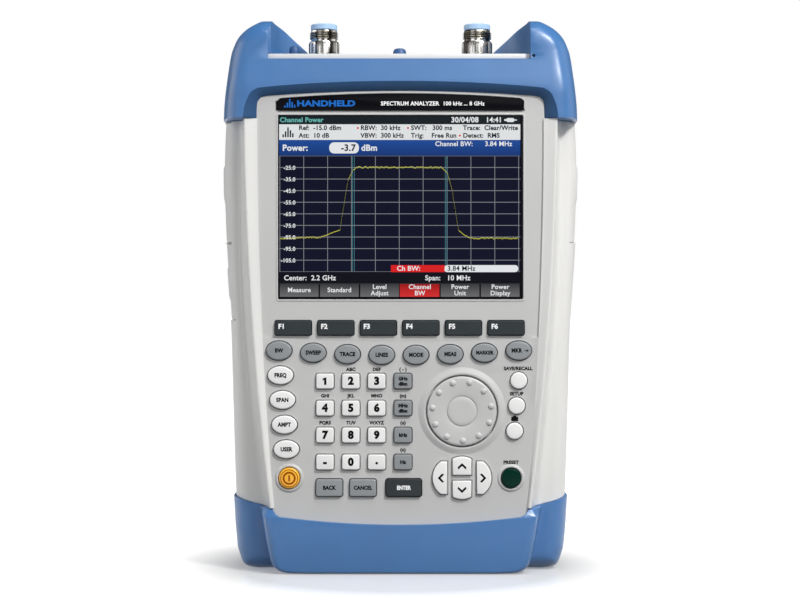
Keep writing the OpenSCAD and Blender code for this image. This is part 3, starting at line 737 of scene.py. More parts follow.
def key_outlines(grow):
    """Outlines of every opening that the keys pass through, each wider than its key by grow all round."""
    def slab(width, height, radius):
        return rounded_box(width + 2 * grow, height + 2 * grow, radius + grow)

    def oval(width, height):
        return ellipse(width + 2 * grow, height + 2 * grow)

    out = []
    for i in range(6):
        out.append(moved(slab(19.4, 7.6, 0.8), (i - 2.5) * SOFTKEY_PITCH - 0.5, SOFTKEY_Z))
    for i in range(8):
        u = (i - 3.5) / 3.5
        out.append(moved(oval(13.7, 10.1), (i - 3.5) * MODE_PITCH - 0.9, MODE_Z + MODE_SAG * u * u))
    for i in range(4):
        out.append(moved(oval(13.7, 9.8), SIDE_KEY[0] + SIDE_STEP[0] * i, SIDE_KEY[1] - SIDE_STEP[1] * i))
    digit = slab(9.4, 8.1, 1.1)
    for i in range(12):
        out.append(moved(digit, DIGIT_X + DIGIT_PITCH * (i % 3), DIGIT_Z - DIGIT_DROP * (i // 3)))
    for i in range(4):
        out.append(moved(digit, UNIT_X, DIGIT_Z - DIGIT_DROP * i))
    for i in range(3):
        out.append(moved(oval(9, 9), ROUND_KEY[0] - ROUND_STEP[0] * i, ROUND_KEY[1] - ROUND_STEP[1] * i))
    for x in (BACK_X, CANCEL_X):
        out.append(moved(slab(14.2, 9.2, 1.2), x, LAST_ROW_Z))
    out.append(moved(slab(19, 9.4, 1.2), ENTER_X, LAST_ROW_Z))
    out.append(moved(oval(11.2, 11.2), *POWER))
    out.append(moved(oval(10.5, 10.5), *PRESET))
    for i in range(4):
        out.append(moved(cursor_outline(i, grow), *CURSOR_PAD))
    return out


def cursor_outline(which, grow):
    """A cursor key's opening: a slice of a round pad; which counts left, up, down, right."""
    out = []
    if which in (0, 3):
        side = -1 if which == 0 else 1
        reach, inner, tall = 10.8 + grow, 7.9 - grow, 8.8 + grow
        for i in range(25):
            a = math.radians(-56 + 112 * i / 24)
            x, z = 5.1 + reach * math.cos(a), reach * math.sin(a)
            out.append((x, max(-tall, min(tall, z))))
        out += [(inner, tall), (inner, -tall)]
        out = [(side * x, z) for x, z in out if x >= inner - 1e-6]
    else:
        side = 1 if which == 1 else -1
        reach, low, wide = 10.1 + grow, 1.5 - grow, 5.1 + grow
        for i in range(17):
            x = wide - 2 * wide * i / 16
            out.append((x, 1.4 + math.sqrt(reach ** 2 - x ** 2)))
        out += [(-wide, low), (wide, low)]
        out = [(x, side * z) for x, z in out]
    if side < 0:
        out.reverse()
    return out


BACK_SMOOTH = curve(BACK_ROLL, 4, 0.0)


def side_surface(z, y):
    """X of the case's right side at a level and depth."""
    wide = side_x(z)
    if y < 0:
        return wide - 9 + 9 * math.sqrt(max(0.0, 1 - (y / 16) ** 2))
    return wide - between(BACK_SMOOTH, y)


def flap_solid(side, low, high, grow=0.0, depth=2.0, out=0.0, scoop=None):
    """A slice of the case's side as a solid; scoop holds the ends of its finger bulge."""
    levels = [low - grow + (high - low + 2 * grow) * i / 40 for i in range(41)]
    depths = [FLAP_Y[0] - grow + (FLAP_Y[1] - FLAP_Y[0] + 2 * grow) * i / 24 for i in range(25)]
    rows = []
    for z in levels:
        level = max(low, min(high, z))
        proud = 0.0
        if scoop:
            proud = min(1.0, max(0.0, (z - scoop[0]) / 2.2)) * min(1.0, max(0.0, (scoop[1] - z) / 2.2))
            proud = proud * proud * (3 - 2 * proud)
        outer, inner = [], []
        for y in depths:
            at = side_surface(level, y)
            lift = proud * 0.6 * max(0.0, 1 - abs((y - 2) / 13) ** 4)
            outer.append((side * (at + out + lift - (0.62 if scoop else 0.0)), y, z))
            inner.append((side * (at - depth), y, z))
        rows.append(outer + inner[::-1])
    return loft(rows)


def flap_openings(sizes):
    """Tools that cut the flaps' openings into the case."""
    gap = millimetres(sizes.flap_gap)
    return [flap_solid(side, low, high, gap, 2.7, 3.0) for side, low, high, _, _ in FLAPS.values()]


def build_front_housing(sizes):
    """The front shell: a loft from the foot to the head, with its screen zone and openings."""
    levels = [FOOT_Z, 37.5, 40, 44, 50, 56, 62, 70, 78, 86, 94, 102, 110, 118, 126, 134, 142, 150, 158,
              166, 174, 182, 190, 198, 206, 214, 222, 230, 238, HEAD_Z]
    rows = []
    foot = half_section(FOOT_Z)
    rows.append(full_row([(x * 0.97, y) for x, y in tucked(foot, FIELD_Y, 62)], 8))
    rows.append(full_row(tucked(foot, FIELD_Y, 68.6), 35.55))
    rows += [full_row(half_section(z), z) for z in levels]
    head = half_section(HEAD_Z)
    rows.append(full_row(tucked(head, ZONE_Y, 79.0), 245.05))
    rows.append(full_row(tucked(half_section(262), ZONE_Y, 79.0), 262))
    rows.append(full_row(tucked(half_section(273), ZONE_Y, 75.6), 273.8))
    shell = loft(rows)
    # the screen zone lies a step deeper than the keypad field
    zone = [(flat_x(z) - 0.12, z) for z in [127.2 + 118.2 * i / 12 for i in range(13)]]
    lower = [(x, 125.2 + 2.9 * (x / 90) ** 2) for x in [-76.5 + 153 * i / 24 for i in range(25)]]
    outline = lower + zone + [(-x, z) for x, z in reversed(zone)]
    cut(shell, [prism(outline, -36, ZONE_Y)])
    tools = [prism(outline, -40, -20) for outline in key_outlines(millimetres(sizes.key_gap))]
    tools.append(prism(moved(rounded_box(132.0, 99.2, 0.6, 2), 0, WINDOW_Z), -40, ZONE_Y + 1))
    cut(shell, tools)
    cut(shell, [prism(moved(rounded_box(126.4, 93.6, 0.6, 2), 0, WINDOW_Z), -31, -20)])
    cut(shell, [prism(moved(ellipse(38.9, 38.9, 72), *WHEEL), -40, -29.3)])
    cut(shell, [prism(moved(ellipse(6.6, 6.6, 24), *WHEEL), -31, -20)])
    cut(shell, flap_openings(sizes))
    smooth(shell)
    dress(shell, "shell", "plate", "mat")
    # the flat field takes the face plate's grey, and the walls of the key openings get the near-black mat
    # finish as painted shade in the gaps
    for face in shell.data.polygons:
        middle = face.center / MM
        if face.normal.y < -0.98 and -31.4 < middle.y < -29.9:
            face.material_index = 1
        elif abs(face.normal.y) < 0.3 and -31.3 < middle.y < -28.6 and 38 < middle.z < 140:
            if abs(middle.x) < flat_x(middle.z) - 1:
                face.material_index = 2
    done(shell, "front_shell", None, node=["front_housing"])
    return shell


def build_face_details():
    """Collars round the wheel, the power key and the preset key."""
    rings = []
    x, z = WHEEL
    profile = [(23.7, -0.05), (23.2, 0.12), (21.6, 0.75), (20.6, 1.1), (20.0, 1.15), (19.6, 0.95),
               (19.45, 0.5), (19.45, -1.8), (21.0, -1.8), (21.0, -0.05)]
    rings.append(turned(profile, (x, FIELD_Y, z), "Y", 96))
    for (x, z), radius in ((POWER, 5.6), (PRESET, 5.25)):
        bore = radius + 0.35
        profile = [(bore + 1.95, -0.05), (bore + 1.6, 0.2), (bore + 1.15, 0.66), (bore + 0.7, 0.8),
                   (bore + 0.3, 0.72), (bore, 0.45), (bore, -2.0), (bore + 1.0, -2.0), (bore + 1.0, -0.05)]
        rings.append(turned(profile, (x, FIELD_Y, z), "Y", 64))
    done(join(rings), "face_collars", FINISHES["plate"])


def on_hinge(profile, x, steps):
    """A turned part laid along the stand's hinge line."""
    part = turned(profile, (0, 0, 0), "Z", steps)
    place = Matrix.Translation(Vector((x, HINGE_Y, HINGE_Z)) * MM)
    part.data.transform(place @ Matrix.Rotation(math.pi / 2, 4, "Y"))
    return part


def build_rear_housing(sizes):
    """The rear shell with its openings, the stand's recess and the panel under the ports."""
    def section(z):
        """The outside of the right-hand half at a level, and its lining."""
        wide = side_x(z)
        outer = [(wide - 3, SEAM_Y + 0.05), (wide - 0.45, SEAM_Y + 0.05), (wide, 2.7)]
        outer += [(wide - inset, y) for y, inset in BACK_SMOOTH if y > 3]
        outer += [(wide - 13, 33.95), (wide - 16, BACK_Y_OUTSIDE), (wide / 2, BACK_Y_OUTSIDE),
                  (0, BACK_Y_OUTSIDE)]
        inner = [(0, 31.0), (wide - 17, 31.0), (wide - 12, 29.5), (wide - 7, 25.5), (wide - 4.2, 19),
                 (wide - 3, 12)]
        return outer, inner

    def row(z, inset=0.0):
        outer, inner = [[(max(0.0, x - inset), y) for x, y in half] for half in section(z)]
        loop = outer + [(-x, y) for x, y in reversed(outer[:-1])]
        loop += [(-x, y) for x, y in reversed(inner[1:])] + inner
        return [(x, y, z + wing_rise(x, z)) for x, y in loop]

    levels = [FOOT_Z, 40, 46, 54, 62, 72, 84, 96, 108, 120, 132, 144, 156, 168, 180, 192, 204, 216, 228,
              238, HEAD_Z]
    rows = [row(9, 3.1), row(35.55, 3.1)] + [row(z) for z in levels] + [row(245.05, 3.1), row(275, 3.1)]
    shell = loft(rows)
    tools = [prism(rounded_box(117.6, 115.6, 5), 28.8, 40)]
    tools[0].data.transform(Matrix.Translation(Vector((0, 0, 181)) * MM))
    lid = prism(rounded_box(112.6, 68.6, 4), 31.1, 40)
    lid.data.transform(Matrix.Translation(Vector((0, 0, 80)) * MM))
    tools.append(lid)
    for x, z in SCREWS:
        tools.append(prism(moved(ellipse(6.4, 6.4, 32), x, z), 28.5, 40))
    cut(shell, tools)
    cut(shell, flap_openings(sizes))
    tools = []
    for side, z, y0, y1, tall in SOCKETS:
        x = (80, 110) if side > 0 else (-110, -80)
        tools.append(block(x, (y0 - 0.4, y1 + 0.4), (z - tall / 2 - 0.4, z + tall / 2 + 0.4)))
    cut(shell, tools)
    # the tray behind the stand, with the two pins that the stand turns on
    tray = prism(moved(rounded_box(121, 119, 6), 0, 181), 26.6, 28.8)
    pins = [on_hinge([(0, -11), (1.5, -11), (1.5, 11), (0, 11)], side * 49, 24) for side in (-1, 1)]
    done(shell, "rear_shell", FINISHES["shell"], node=["rear_housing"])
    done(join([tray] + pins), "stand_recess_floor", FINISHES["shell"])
    panel = prism([(-75.8, 277.6), (75.8, 277.6), (75.8, PANEL_Z), (-75.8, PANEL_Z)], -28, 24)
    holes = [turned([(0, 270), (6.4, 270), (6.4, 290), (0, 290)], (x, 0, 0), "Z", 48)
             for x in (-RF_X, RF_X)]
    cut(panel, holes)
    soften(panel, 0.3, 2)
    done(panel, "connector_panel", FINISHES["shell"])


def build_flaps(sizes):
    """The covers over the side sockets."""
    for name, (side, low, high, a, b) in FLAPS.items():
        flap = flap_solid(side, low, high, 0.0, 2.0, 0.0, (a, b))
        soften(flap, millimetres(sizes.flap_edge), 3, 50)
        done(flap, name + "_cover", FINISHES["flap"], name, [name], 30)


# ---- the bumpers ----

def core():
    """The case inside a bumper, as a tool."""
    outline = mirrored(curve(CASE_SIDE, 3))
    return skin(outline, FRONT_ROLL + BACK_ROLL[1:], BUMPER_WALL)


def bumper_skin(side, roll, high=None):
    """A bumper's outside as a solid, held down to a highest level."""
    outline = mirrored(curve(side, 5, 0.0, high))
    return skin(outline, [(max(FRONT_Y, min(BACK_Y, y)), inset) for y, inset in curve(roll, 2)])


def lean_back(y, z):
    """The upper band leans back a little towards its top edge."""
    rise = min(1.0, max(0.0, (z - 258) / 26))
    return 3.4 * rise * rise * (3 - 2 * rise) * min(1.0, max(0.0, (-16 - y) / 14))


def tuck_under(y, z):
    """The lower bumper's front draws in towards the floor."""
    drop = min(1.0, max(0.0, (27 - z) / 27))
    return 1.0 * drop ** 2.4 * min(1.0, max(0.0, (-18 - y) / 12))


def build_top_bumper(sizes):
    """The upper bumper: hollowed, opened for the title bar and the ports, and eased."""
    bumper = bumper_skin(TOP_SIDE, BUMPER_ROLL, 300.0)
    bulge(bumper, [258 + 3 * i for i in range(11)], lean_back)
    cut(bumper, [block((-110, 110), (-50, 50), (200, BUMPER_Z))])
    cut(bumper, [core()])
    title = [(-79.6, 230), (79.6, 230), (79.6, 262.1), (76.1, 274.1), (-76.1, 274.1), (-79.6, 262.1)]
    cut(bumper, [prism(title, -30.3, 0)])
    crease = [(85.6, 230), (84.9, 240), (84.2, 249.5), (81.8, 256.5), (79.6, 259.6), (76.5, 261.5)]
    opening = [(77.7, 230), (77.6, 240), (77.4, 250.5), (77.1, 253.4), (76.5, 255.0), (75.0, 256.6)]
    crease, opening = curve(crease, 3), curve(opening, 3)
    crease += arch(72, 266.3, -4.2)[::-1] + [(-x, z) for x, z in reversed(crease)]
    opening += arch(72.0, 260, -2.7)[::-1] + [(-x, z) for x, z in reversed(opening)]
    rows = [[(x, -36, z) for x, z in crease]]
    for part, y in ((0, FRONT_Y), (0.62, -32.7), (1, -30.4), (1, -16)):
        rows.append([(a + (c - a) * part, y, b + (d - b) * part)
                     for (a, b), (c, d) in zip(crease, opening)])
    cut(bumper, [loft(rows)])
    saddle = [(-71.4, 277.2), (70, 277.2), (70, 340), (-71.4, 340)]
    cut(bumper, [prism(saddle, -50, -28.1)])
    cut(bumper, [block((-76.1, 76.1), (-28.2, 24.1), (273.9, 280.4))])
    plan = curve([(44, 24.1), (50, 22), (58, 16), (64, 8), (68, -2), (70, -15), (70, -28.2)], 3)
    plan += [(-x, y) for x, y in reversed(plan)]
    cut(bumper, [loft([[(x, y, PANEL_Z) for x, y in plan], [(x, y, 340) for x, y in plan]])])
    fall = curve([(46, 280.6), (50, 284.8), (55, 289.2), (60, 293.3), (64.5, 297), (68, 298.9),
                  (72.5, 300.1)], 3)
    fall += [(73, 340)]
    cut(bumper, [prism(fall + [(-x, z) for x, z in reversed(fall)], -50, 50)])
    eye = prism(moved(ellipse(1.8, 1.8, 24), 71.6, 278.8), -50, -24)
    cut(bumper, [eye])
    soften(bumper, millimetres(sizes.top_edge), 2, 24)
    level_off(bumper)
    dress(bumper, "bumper", "bumper_painted_shade")
    # the chamfer that falls towards the screen gets a darker copy of the blue, painted shade where it faces
    # down and in
    for face in bumper.data.polygons:
        middle, facing = face.center / MM, face.normal
        inner = abs(middle.x) < 85 and -34.3 < middle.y < -28 and middle.z < 266
        if inner and facing.y < -0.1 and (facing.z < -0.35 or facing.x * middle.x < -20):
            face.material_index = 1
    done(bumper, "top_bumper_skin", None, node=["top_bumper"], angle=30)


def build_bottom_bumper(sizes):
    """The lower bumper: wings behind the face's edge and a belly in front of it, joined and hollowed."""
    bumper = bumper_skin(BOTTOM_SIDE, WING_ROLL)
    belly = mirrored(curve([(50, 0), (61, 0.4), (66, 1.8), (68.8, 4.2), (70.6, 8.6), (73, 21),
                            (75.4, 36)], 3, 0.0))
    foot = mirrored(curve([(54, 0), (63, 0.3), (67.6, 1.2), (70.6, 3.6), (72.4, 8), (75.2, 21), (78, 36)],
                          3, 0.0))
    rows = []
    for y, inset, outline in ((-34.5, 6.4, belly), (-34.46, 5.2, belly), (-34.2, 3.8, belly),
                              (-33.5, 2.3, belly), (-32.2, 1.1, belly), (-30, 0.3, belly),
                              (-27.5, 0, belly), (-12, 0, foot)):
        ring = inward(outline, inset)
        rows.append([(x, y, max(0.0, z - 0.85 * inset * max(0.0, 1 - z / 36))) for x, z in ring])
    front = bulge(loft(rows), [2 + 3 * i for i in range(9)], tuck_under)
    cut(bumper, [front], "UNION")
    cut(bumper, [core()])
    hollow = [(-62.1, 7.9), (62.1, 7.9), (68.8, 35.5), (68.8, 60), (-68.8, 60), (-68.8, 35.5)]
    cut(bumper, [prism(hollow, -31.3, -13)])
    lip = [(-68.4, 60), (-68.4, 34), (-66.8, 31.8)] + arch(64.8, 26.6, 4.2)
    lip += [(66.8, 31.8), (68.4, 34), (68.4, 60)]
    cut(bumper, [prism(lip, -50, -13.9)])
    cut(bumper, [block((-100, 100), (-50, -17.8), (35.3, 60))])
    top = [(-100, 40.9), (-92, 40), (-74, 35.4), (74, 35.4), (92, 40), (100, 40.9), (100, 140), (-100, 140)]
    cut(bumper, [prism(top, -50, 50)])
    soften(bumper, millimetres(sizes.bottom_edge), 3, 42)
    level_off(bumper)
    done(bumper, "bottom_bumper_skin", FINISHES["bumper"], node=["bottom_bumper"],
         angle=30)


# ---- the back ----

def build_stand(sizes):
    """The tilt stand: a ribbed plate with its two knuckles and its pads."""
    plate = prism(moved(rounded_box(116, 112, 4.5), 0, 180), 29.4, 33.2)
    window = prism(moved(rounded_box(84, 68, 8), 0, 180), 31.2, 40)
    ribs = [prism(moved(rounded_box(78, 1.6, 0.7, 3), 0, z), 31.1, 32.2)
            for z in (155, 165, 175, 185, 195, 205)]
    notch = prism(moved(ellipse(24, 24, 48), 0, 124), 31.3, 40)
    gap = [prism(moved(rounded_box(74, 12.5, 1.5), 0, 232.9), 20, 40)]
    gap += [prism(moved(rounded_box(9, 12.5, 1), side * 60.2, 232.9), 20, 40) for side in (-1, 1)]
    cut(plate, [window, notch])
    cut(plate, gap)
    soften(plate, millimetres(sizes.stand_edge), 3)
    knuckles = [on_hinge([(1.56, -9), (2.5, -9), (2.5, 9), (1.56, 9)], side * 46, 32) for side in (-1, 1)]
    done(join([plate] + ribs + knuckles), "tilt_stand_plate", FINISHES["shell"], "tilt_stand",
         ["tilt_stand"])
    feet = [prism(moved(rounded_box(20, 4, 1.8), side * 44, 129), 32.9, 33.3) for side in (-1, 1)]
    done(soften(join(feet), 0.15, 2), "tilt_stand_pads", FINISHES["rubber"], "tilt_stand")


def build_battery_cover(sizes):
    """The battery cover with its grip ribs and latch."""
    cover = prism(moved(rounded_box(111.6, 67.6, 3.6), 0, 80), 31.3, 33.4)
    panel = prism(moved(rounded_box(96, 52, 3), 0, 78), 32.9, 40)
    latch = prism(moved(rounded_box(22, 7, 3.4), 0, 109), 32.2, 40)
    cut(cover, [panel, latch])
    soften(cover, millimetres(sizes.cover_edge), 3)
    ribs = [prism(moved(rounded_box(30, 1.4, 0.6, 3), 0, 60 + 3 * i), 32.8, 33.4) for i in range(6)]
    tongue = prism(moved(rounded_box(10, 3, 1.3, 4), 0, 109), 32.1, 33.1)
    done(join([cover, tongue] + ribs), "battery_cover_plate", FINISHES["shell"], "battery_cover",
         ["battery_cover"])


# ---- keys ----

def key_cap(node, name, finish, round_by):
    """A key from its CAD outline: merged, with its front edge rolled by a radius in millimetres."""
    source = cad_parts[node]
    lone(source)
    bpy.ops.object.duplicate()
    key = bpy.context.object
    key.parent = None
    key.matrix_world = Matrix()
    key.data.materials.clear()
    edit(key)
    bpy.ops.mesh.remove_doubles(threshold=1e-6)
    bpy.ops.mesh.select_all(action="SELECT")
    bpy.ops.mesh.dissolve_limited(angle_limit=math.radians(1.5))
    bpy.ops.mesh.select_all(action="DESELECT")
    start()
    front = min(v.co.y for v in key.data.vertices)
    for face in key.data.polygons:
        face.select = abs(face.center.y - front) < 1e-5 and face.normal.y < -0.9
    for item in [*key.data.edges, *key.data.vertices]:
        item.select = False
    lone(key)
    bpy.ops.object.mode_set(mode="EDIT")
    bpy.ops.mesh.select_mode(type="FACE")
    bpy.ops.mesh.region_to_loop()
    bpy.ops.mesh.bevel(offset=round_by * MM, segments=4, profile=0.5, affect="EDGES")
    start()
    done(key, name, FINISHES[finish], node, [node], 40)
    return key


def build_keys():
    """Every key cap, with its finish and edge radius, riding with its CAD node."""
    for i in range(1, 7):
        key_cap("key_f%d" % i, "softkey_%d" % i, "dark_key", 0.5)
    for name in ("bw", "sweep", "trace", "lines", "mode", "meas", "marker", "marker_to"):
        key_cap("key_" + name, "mode_key_" + name, "grey_key", 0.8)
    for name in ("freq", "span", "ampt", "user"):
        key_cap("key_" + name, "side_key_" + name, "white_key", 0.8)
    for name in [str(i) for i in range(10)] + ["minus", "point"]:
        key_cap("key_" + name, "digit_key_" + name, "white_key", 0.55)
    for name in ("left", "up", "down", "right"):
        key_cap("key_" + name, "cursor_key_" + name, "white_key", 0.7)
    key_cap("unit_keys", "unit_key_caps", "grey_key", 0.55)
    key_cap("round_keys", "round_key_caps", "white_key", 0.9)
    key_cap("back_cancel_keys", "back_cancel_key_caps", "grey_key", 0.6)
    key_cap("key_enter", "enter_key_cap", "dark_key", 0.6)
    key_cap("key_power", "power_key_cap", "amber_key", 0.9)
    key_cap("key_preset", "preset_key_cap", "green_key", 0.9)


def chevron(x, z, turn):
    """A cursor key's mark as a bent ribbon."""
    wide, tall, thick = 2.4, 2.3, 1.15
    path = [(-wide, -tall / 2), (0, tall / 2), (wide, -tall / 2), (wide - 0.35, -tall / 2 - thick),
            (0, tall / 2 - thick * 1.35), (-wide + 0.35, -tall / 2 - thick)]
    c, s = math.cos(math.radians(turn)), math.sin(math.radians(turn))
    path = [(x + a * c - b * s, z + a * s + b * c) for a, b in path]
    return prism(path[::-1], KEY_TOP_Y - 1.5 * PRINT, KEY_TOP_Y + PRINT)


def build_legends():
    """The printing on the keys, which rides with them, and the small printing on the face."""
    # just proud of the keys in the field, and of the softkeys in the screen zone
    field, zone = KEY_TOP_Y - PRINT, KEY_TOP_Y + 1 - PRINT

    def legend(words, size, x, z, y, node, ink, **more):
        letters = lettering(words, size, x, z, y, **more)
        done(letters, "legend_" + node, FINISHES[ink], node)

    for i in range(6):
        node = "key_f%d" % (i + 1)
        x, z = centre_of(node)
        legend("F%d" % (i + 1), 3.6, x - 6.2, z + 0.7, zone, node, "white_ink")
    words = {"key_bw": "BW", "key_sweep": "SWEEP", "key_trace": "TRACE", "key_lines": "LINES",
             "key_mode": "MODE", "key_meas": "MEAS", "key_marker": "MARKER", "key_freq": "FREQ",
             "key_span": "SPAN", "key_ampt": "AMPT", "key_user": "USER"}
    for node, word in words.items():
        x, z = centre_of(node)
        legend(word, 3.0 if len(word) < 6 else 2.7, x, z, field, node, "ink", bold=0.055, stretch=0.88)
    x, z = centre_of("key_marker_to")
    letters = lettering("MKR", 3.0, x - 1.2, z, field, bold=0.055, stretch=0.88)
    arrow = prism([(x + 3.0, z - 0.2), (x + 4.2, z - 0.2), (x + 4.2, z - 0.8), (x + 5.4, z),
                   (x + 4.2, z + 0.8), (x + 4.2, z + 0.2), (x + 3.0, z + 0.2)], field, field + 2 * PRINT)
    done(join([letters, arrow]), "legend_key_marker_to", FINISHES["ink"], "key_marker_to")
    for name in [str(i) for i in range(10)] + ["minus", "point"]:
        node = "key_" + name
        x, z = centre_of(node)
        word = {"minus": "-", "point": "."}.get(name, name)
        if name == "1":
            stem = [(-0.45, -1.95), (0.8, -1.95), (0.8, 1.95), (0.0, 1.95), (-1.25, 1.3), (-1.25, 0.3),
                    (-0.45, 0.75)]
            one = prism(moved(stem, x, z), field, field + 2 * PRINT)
            done(one, "legend_key_1", FINISHES["ink"], node)
            continue
        legend(word, 5.6, x, z + (0.9 if name == "point" else 0.0), field, node, "ink", bold=0.065)
    x, z = centre_of("key_enter")
    legend("ENTER", 2.9, x, z, field, "key_enter", "white_ink", bold=0.06, stretch=0.82)
    parts = []
    for row, words in enumerate((("GHz", "dBm"), ("MHz", "dBm"), ("kHz",), ("Hz",))):
        z = DIGIT_Z - DIGIT_DROP * row
        if len(words) == 2:
            parts.append(lettering(words[0], 2.5, UNIT_X, z + 1.3, field, bold=0.07))
            parts.append(lettering(words[1], 2.5, UNIT_X, z - 1.5, field, bold=0.07))
        else:
            parts.append(lettering(words[0], 2.6, UNIT_X, z, field, bold=0.07))
    done(join(parts), "legend_unit_keys", FINISHES["ink"], "unit_keys")
    parts = [lettering("BACK", 2.9, BACK_X, LAST_ROW_Z, field, bold=0.055, stretch=0.88),
             lettering("CANCEL", 2.8, CANCEL_X, LAST_ROW_Z, field, bold=0.055, stretch=0.88)]
    done(join(parts), "legend_back_cancel", FINISHES["ink"], "back_cancel_keys")
    for node, rise, turn in (("key_left", 0, 90), ("key_up", 0.4, 0), ("key_down", -0.4, 180),
                             ("key_right", 0, -90)):
        x, z = centre_of(node)
        done(chevron(x, z + rise, turn), "legend_" + node, FINISHES["ink"], node)
    # printed marks on the power key
    x, z = POWER
    ring = turned([(2.5, 1.79), (3.5, 1.79), (3.5, 1.83), (2.5, 1.83)], (x, FIELD_Y, z), "Y", 48)
    rim = turned([(4.35, 1.79), (4.75, 1.79), (4.75, 1.83), (4.35, 1.83)], (x, FIELD_Y, z), "Y", 48)
    bar = prism(moved(rounded_box(0.9, 3.4, 0.4, 3), x, z), -33.04, -32.99)
    done(join([ring, rim, bar]), "legend_key_power", FINISHES["amber_mark"], "key_power")
    # small print on the face
    face = FIELD_Y - PRINT
    small = [("ABC", -26.7, 110.0), ("DEF", -12.8, 110.0), ("GHI", -40.6, 95.8), ("JKL", -26.7, 95.8),
             ("MNO", -12.8, 95.8), ("PQRS", -40.6, 81.3), ("TUV", -26.7, 81.3), ("WXYZ", -12.8, 81.3),
             ("( - )", 1.3, 110.0), ("(m)", 1.3, 95.8), ("(u)", 1.3, 81.3), ("(n)", 1.3, 66.8),
             ("SAVE/RECALL", 63.2, 110.5), ("SETUP", 62.4, 96.9), ("PRESET", 59.4, 60.0)]
    parts = [lettering(word, 2.5, x, z, face, bold=0.055) for word, x, z in small]
    camera_mark = prism(moved(rounded_box(3.8, 2.4, 0.4, 2), 61.4, 83.4), face, face + 0.05)
    hump = prism(moved(rounded_box(1.5, 0.9, 0.2, 2), 61.4, 84.8), face, face + 0.05)
    done(join(parts + [camera_mark, hump]), "face_printing", FINISHES["ink"])


# ---- the wheel ----

def build_wheel(sizes):
    """The selection wheel: a dished disc with raised dots near its rim, on its shaft."""
    x, z = WHEEL
    disc = [(0, 29.7), (18.3, 29.7), (18.7, 30.1), (18.7, 32.2), (18.5, 32.8), (17.9, 33.15),
            (17.2, 33.2), (14.2, 33.15), (11.5, 33.0), (8.9, 32.85), (8.35, 32.7), (8.15, 32.35),
            (7.85, 32.35), (7.7, 32.8), (7.2, 33.0), (5.5, 33.05), (2.5, 33.0), (0, 32.98)]
    wheel = turned(disc, (x, 0, z), "Y", 96)
    dots = []
    for i in range(sizes.wheel_dots):
        a = math.radians(75.4 + i * 360 / sizes.wheel_dots)
        start()
        bpy.ops.mesh.primitive_uv_sphere_add(segments=24, ring_count=12, radius=1)
        dot = bpy.context.object
        edit(dot)
        bpy.ops.mesh.remove_doubles(threshold=1e-6)
        start()
        place = Matrix.Translation(Vector((x + 15.9 * math.cos(a), -33.1, z + 15.9 * math.sin(a))) * MM)
        dot.data.transform(place @ Matrix.Diagonal((1.65 * MM, 0.95 * MM, 1.65 * MM, 1)))
        dots.append(dot)
    shaft = turned([(0, 18), (2.9, 18), (2.9, 29.8), (0, 29.8)], (x, 0, z), "Y", 32)
    done(join([wheel, shaft] + dots), "selection_wheel", FINISHES["wheel"], "jog_wheel", ["jog_wheel"],
         40)


# ---- the screen ----

def screen_box(x0, x1, z0, z1, y, radius=0.0):
    """A thin plate of screen ink, with round corners if it has a radius."""
    across, up = (x1 - x0) / 2, (z1 - z0) / 2
    if radius:
        outline = rounded_box(x1 - x0, z1 - z0, radius, 4)
    else:
        outline = [(-across, -up), (across, -up), (across, up), (-across, up)]
    return prism(moved(outline, (x0 + x1) / 2, (z0 + z1) / 2), y, y + 0.06)


def trace_height(x):
    """The power trace: a flat-topped hump over a noise floor."""
    shape = [(-65, 180.6), (-43, 181.2), (-32.6, 185.2), (-30.6, 198), (-28.2, 212.2), (-25.6, 217.2),
             (-23.6, 218.8), (22, 218.8), (25.2, 215.9), (27.7, 207), (29.7, 194.2), (31.3, 184.7),
             (34.7, 182.2), (38, 180.7), (64, 180.6)]
    return between(shape, x)


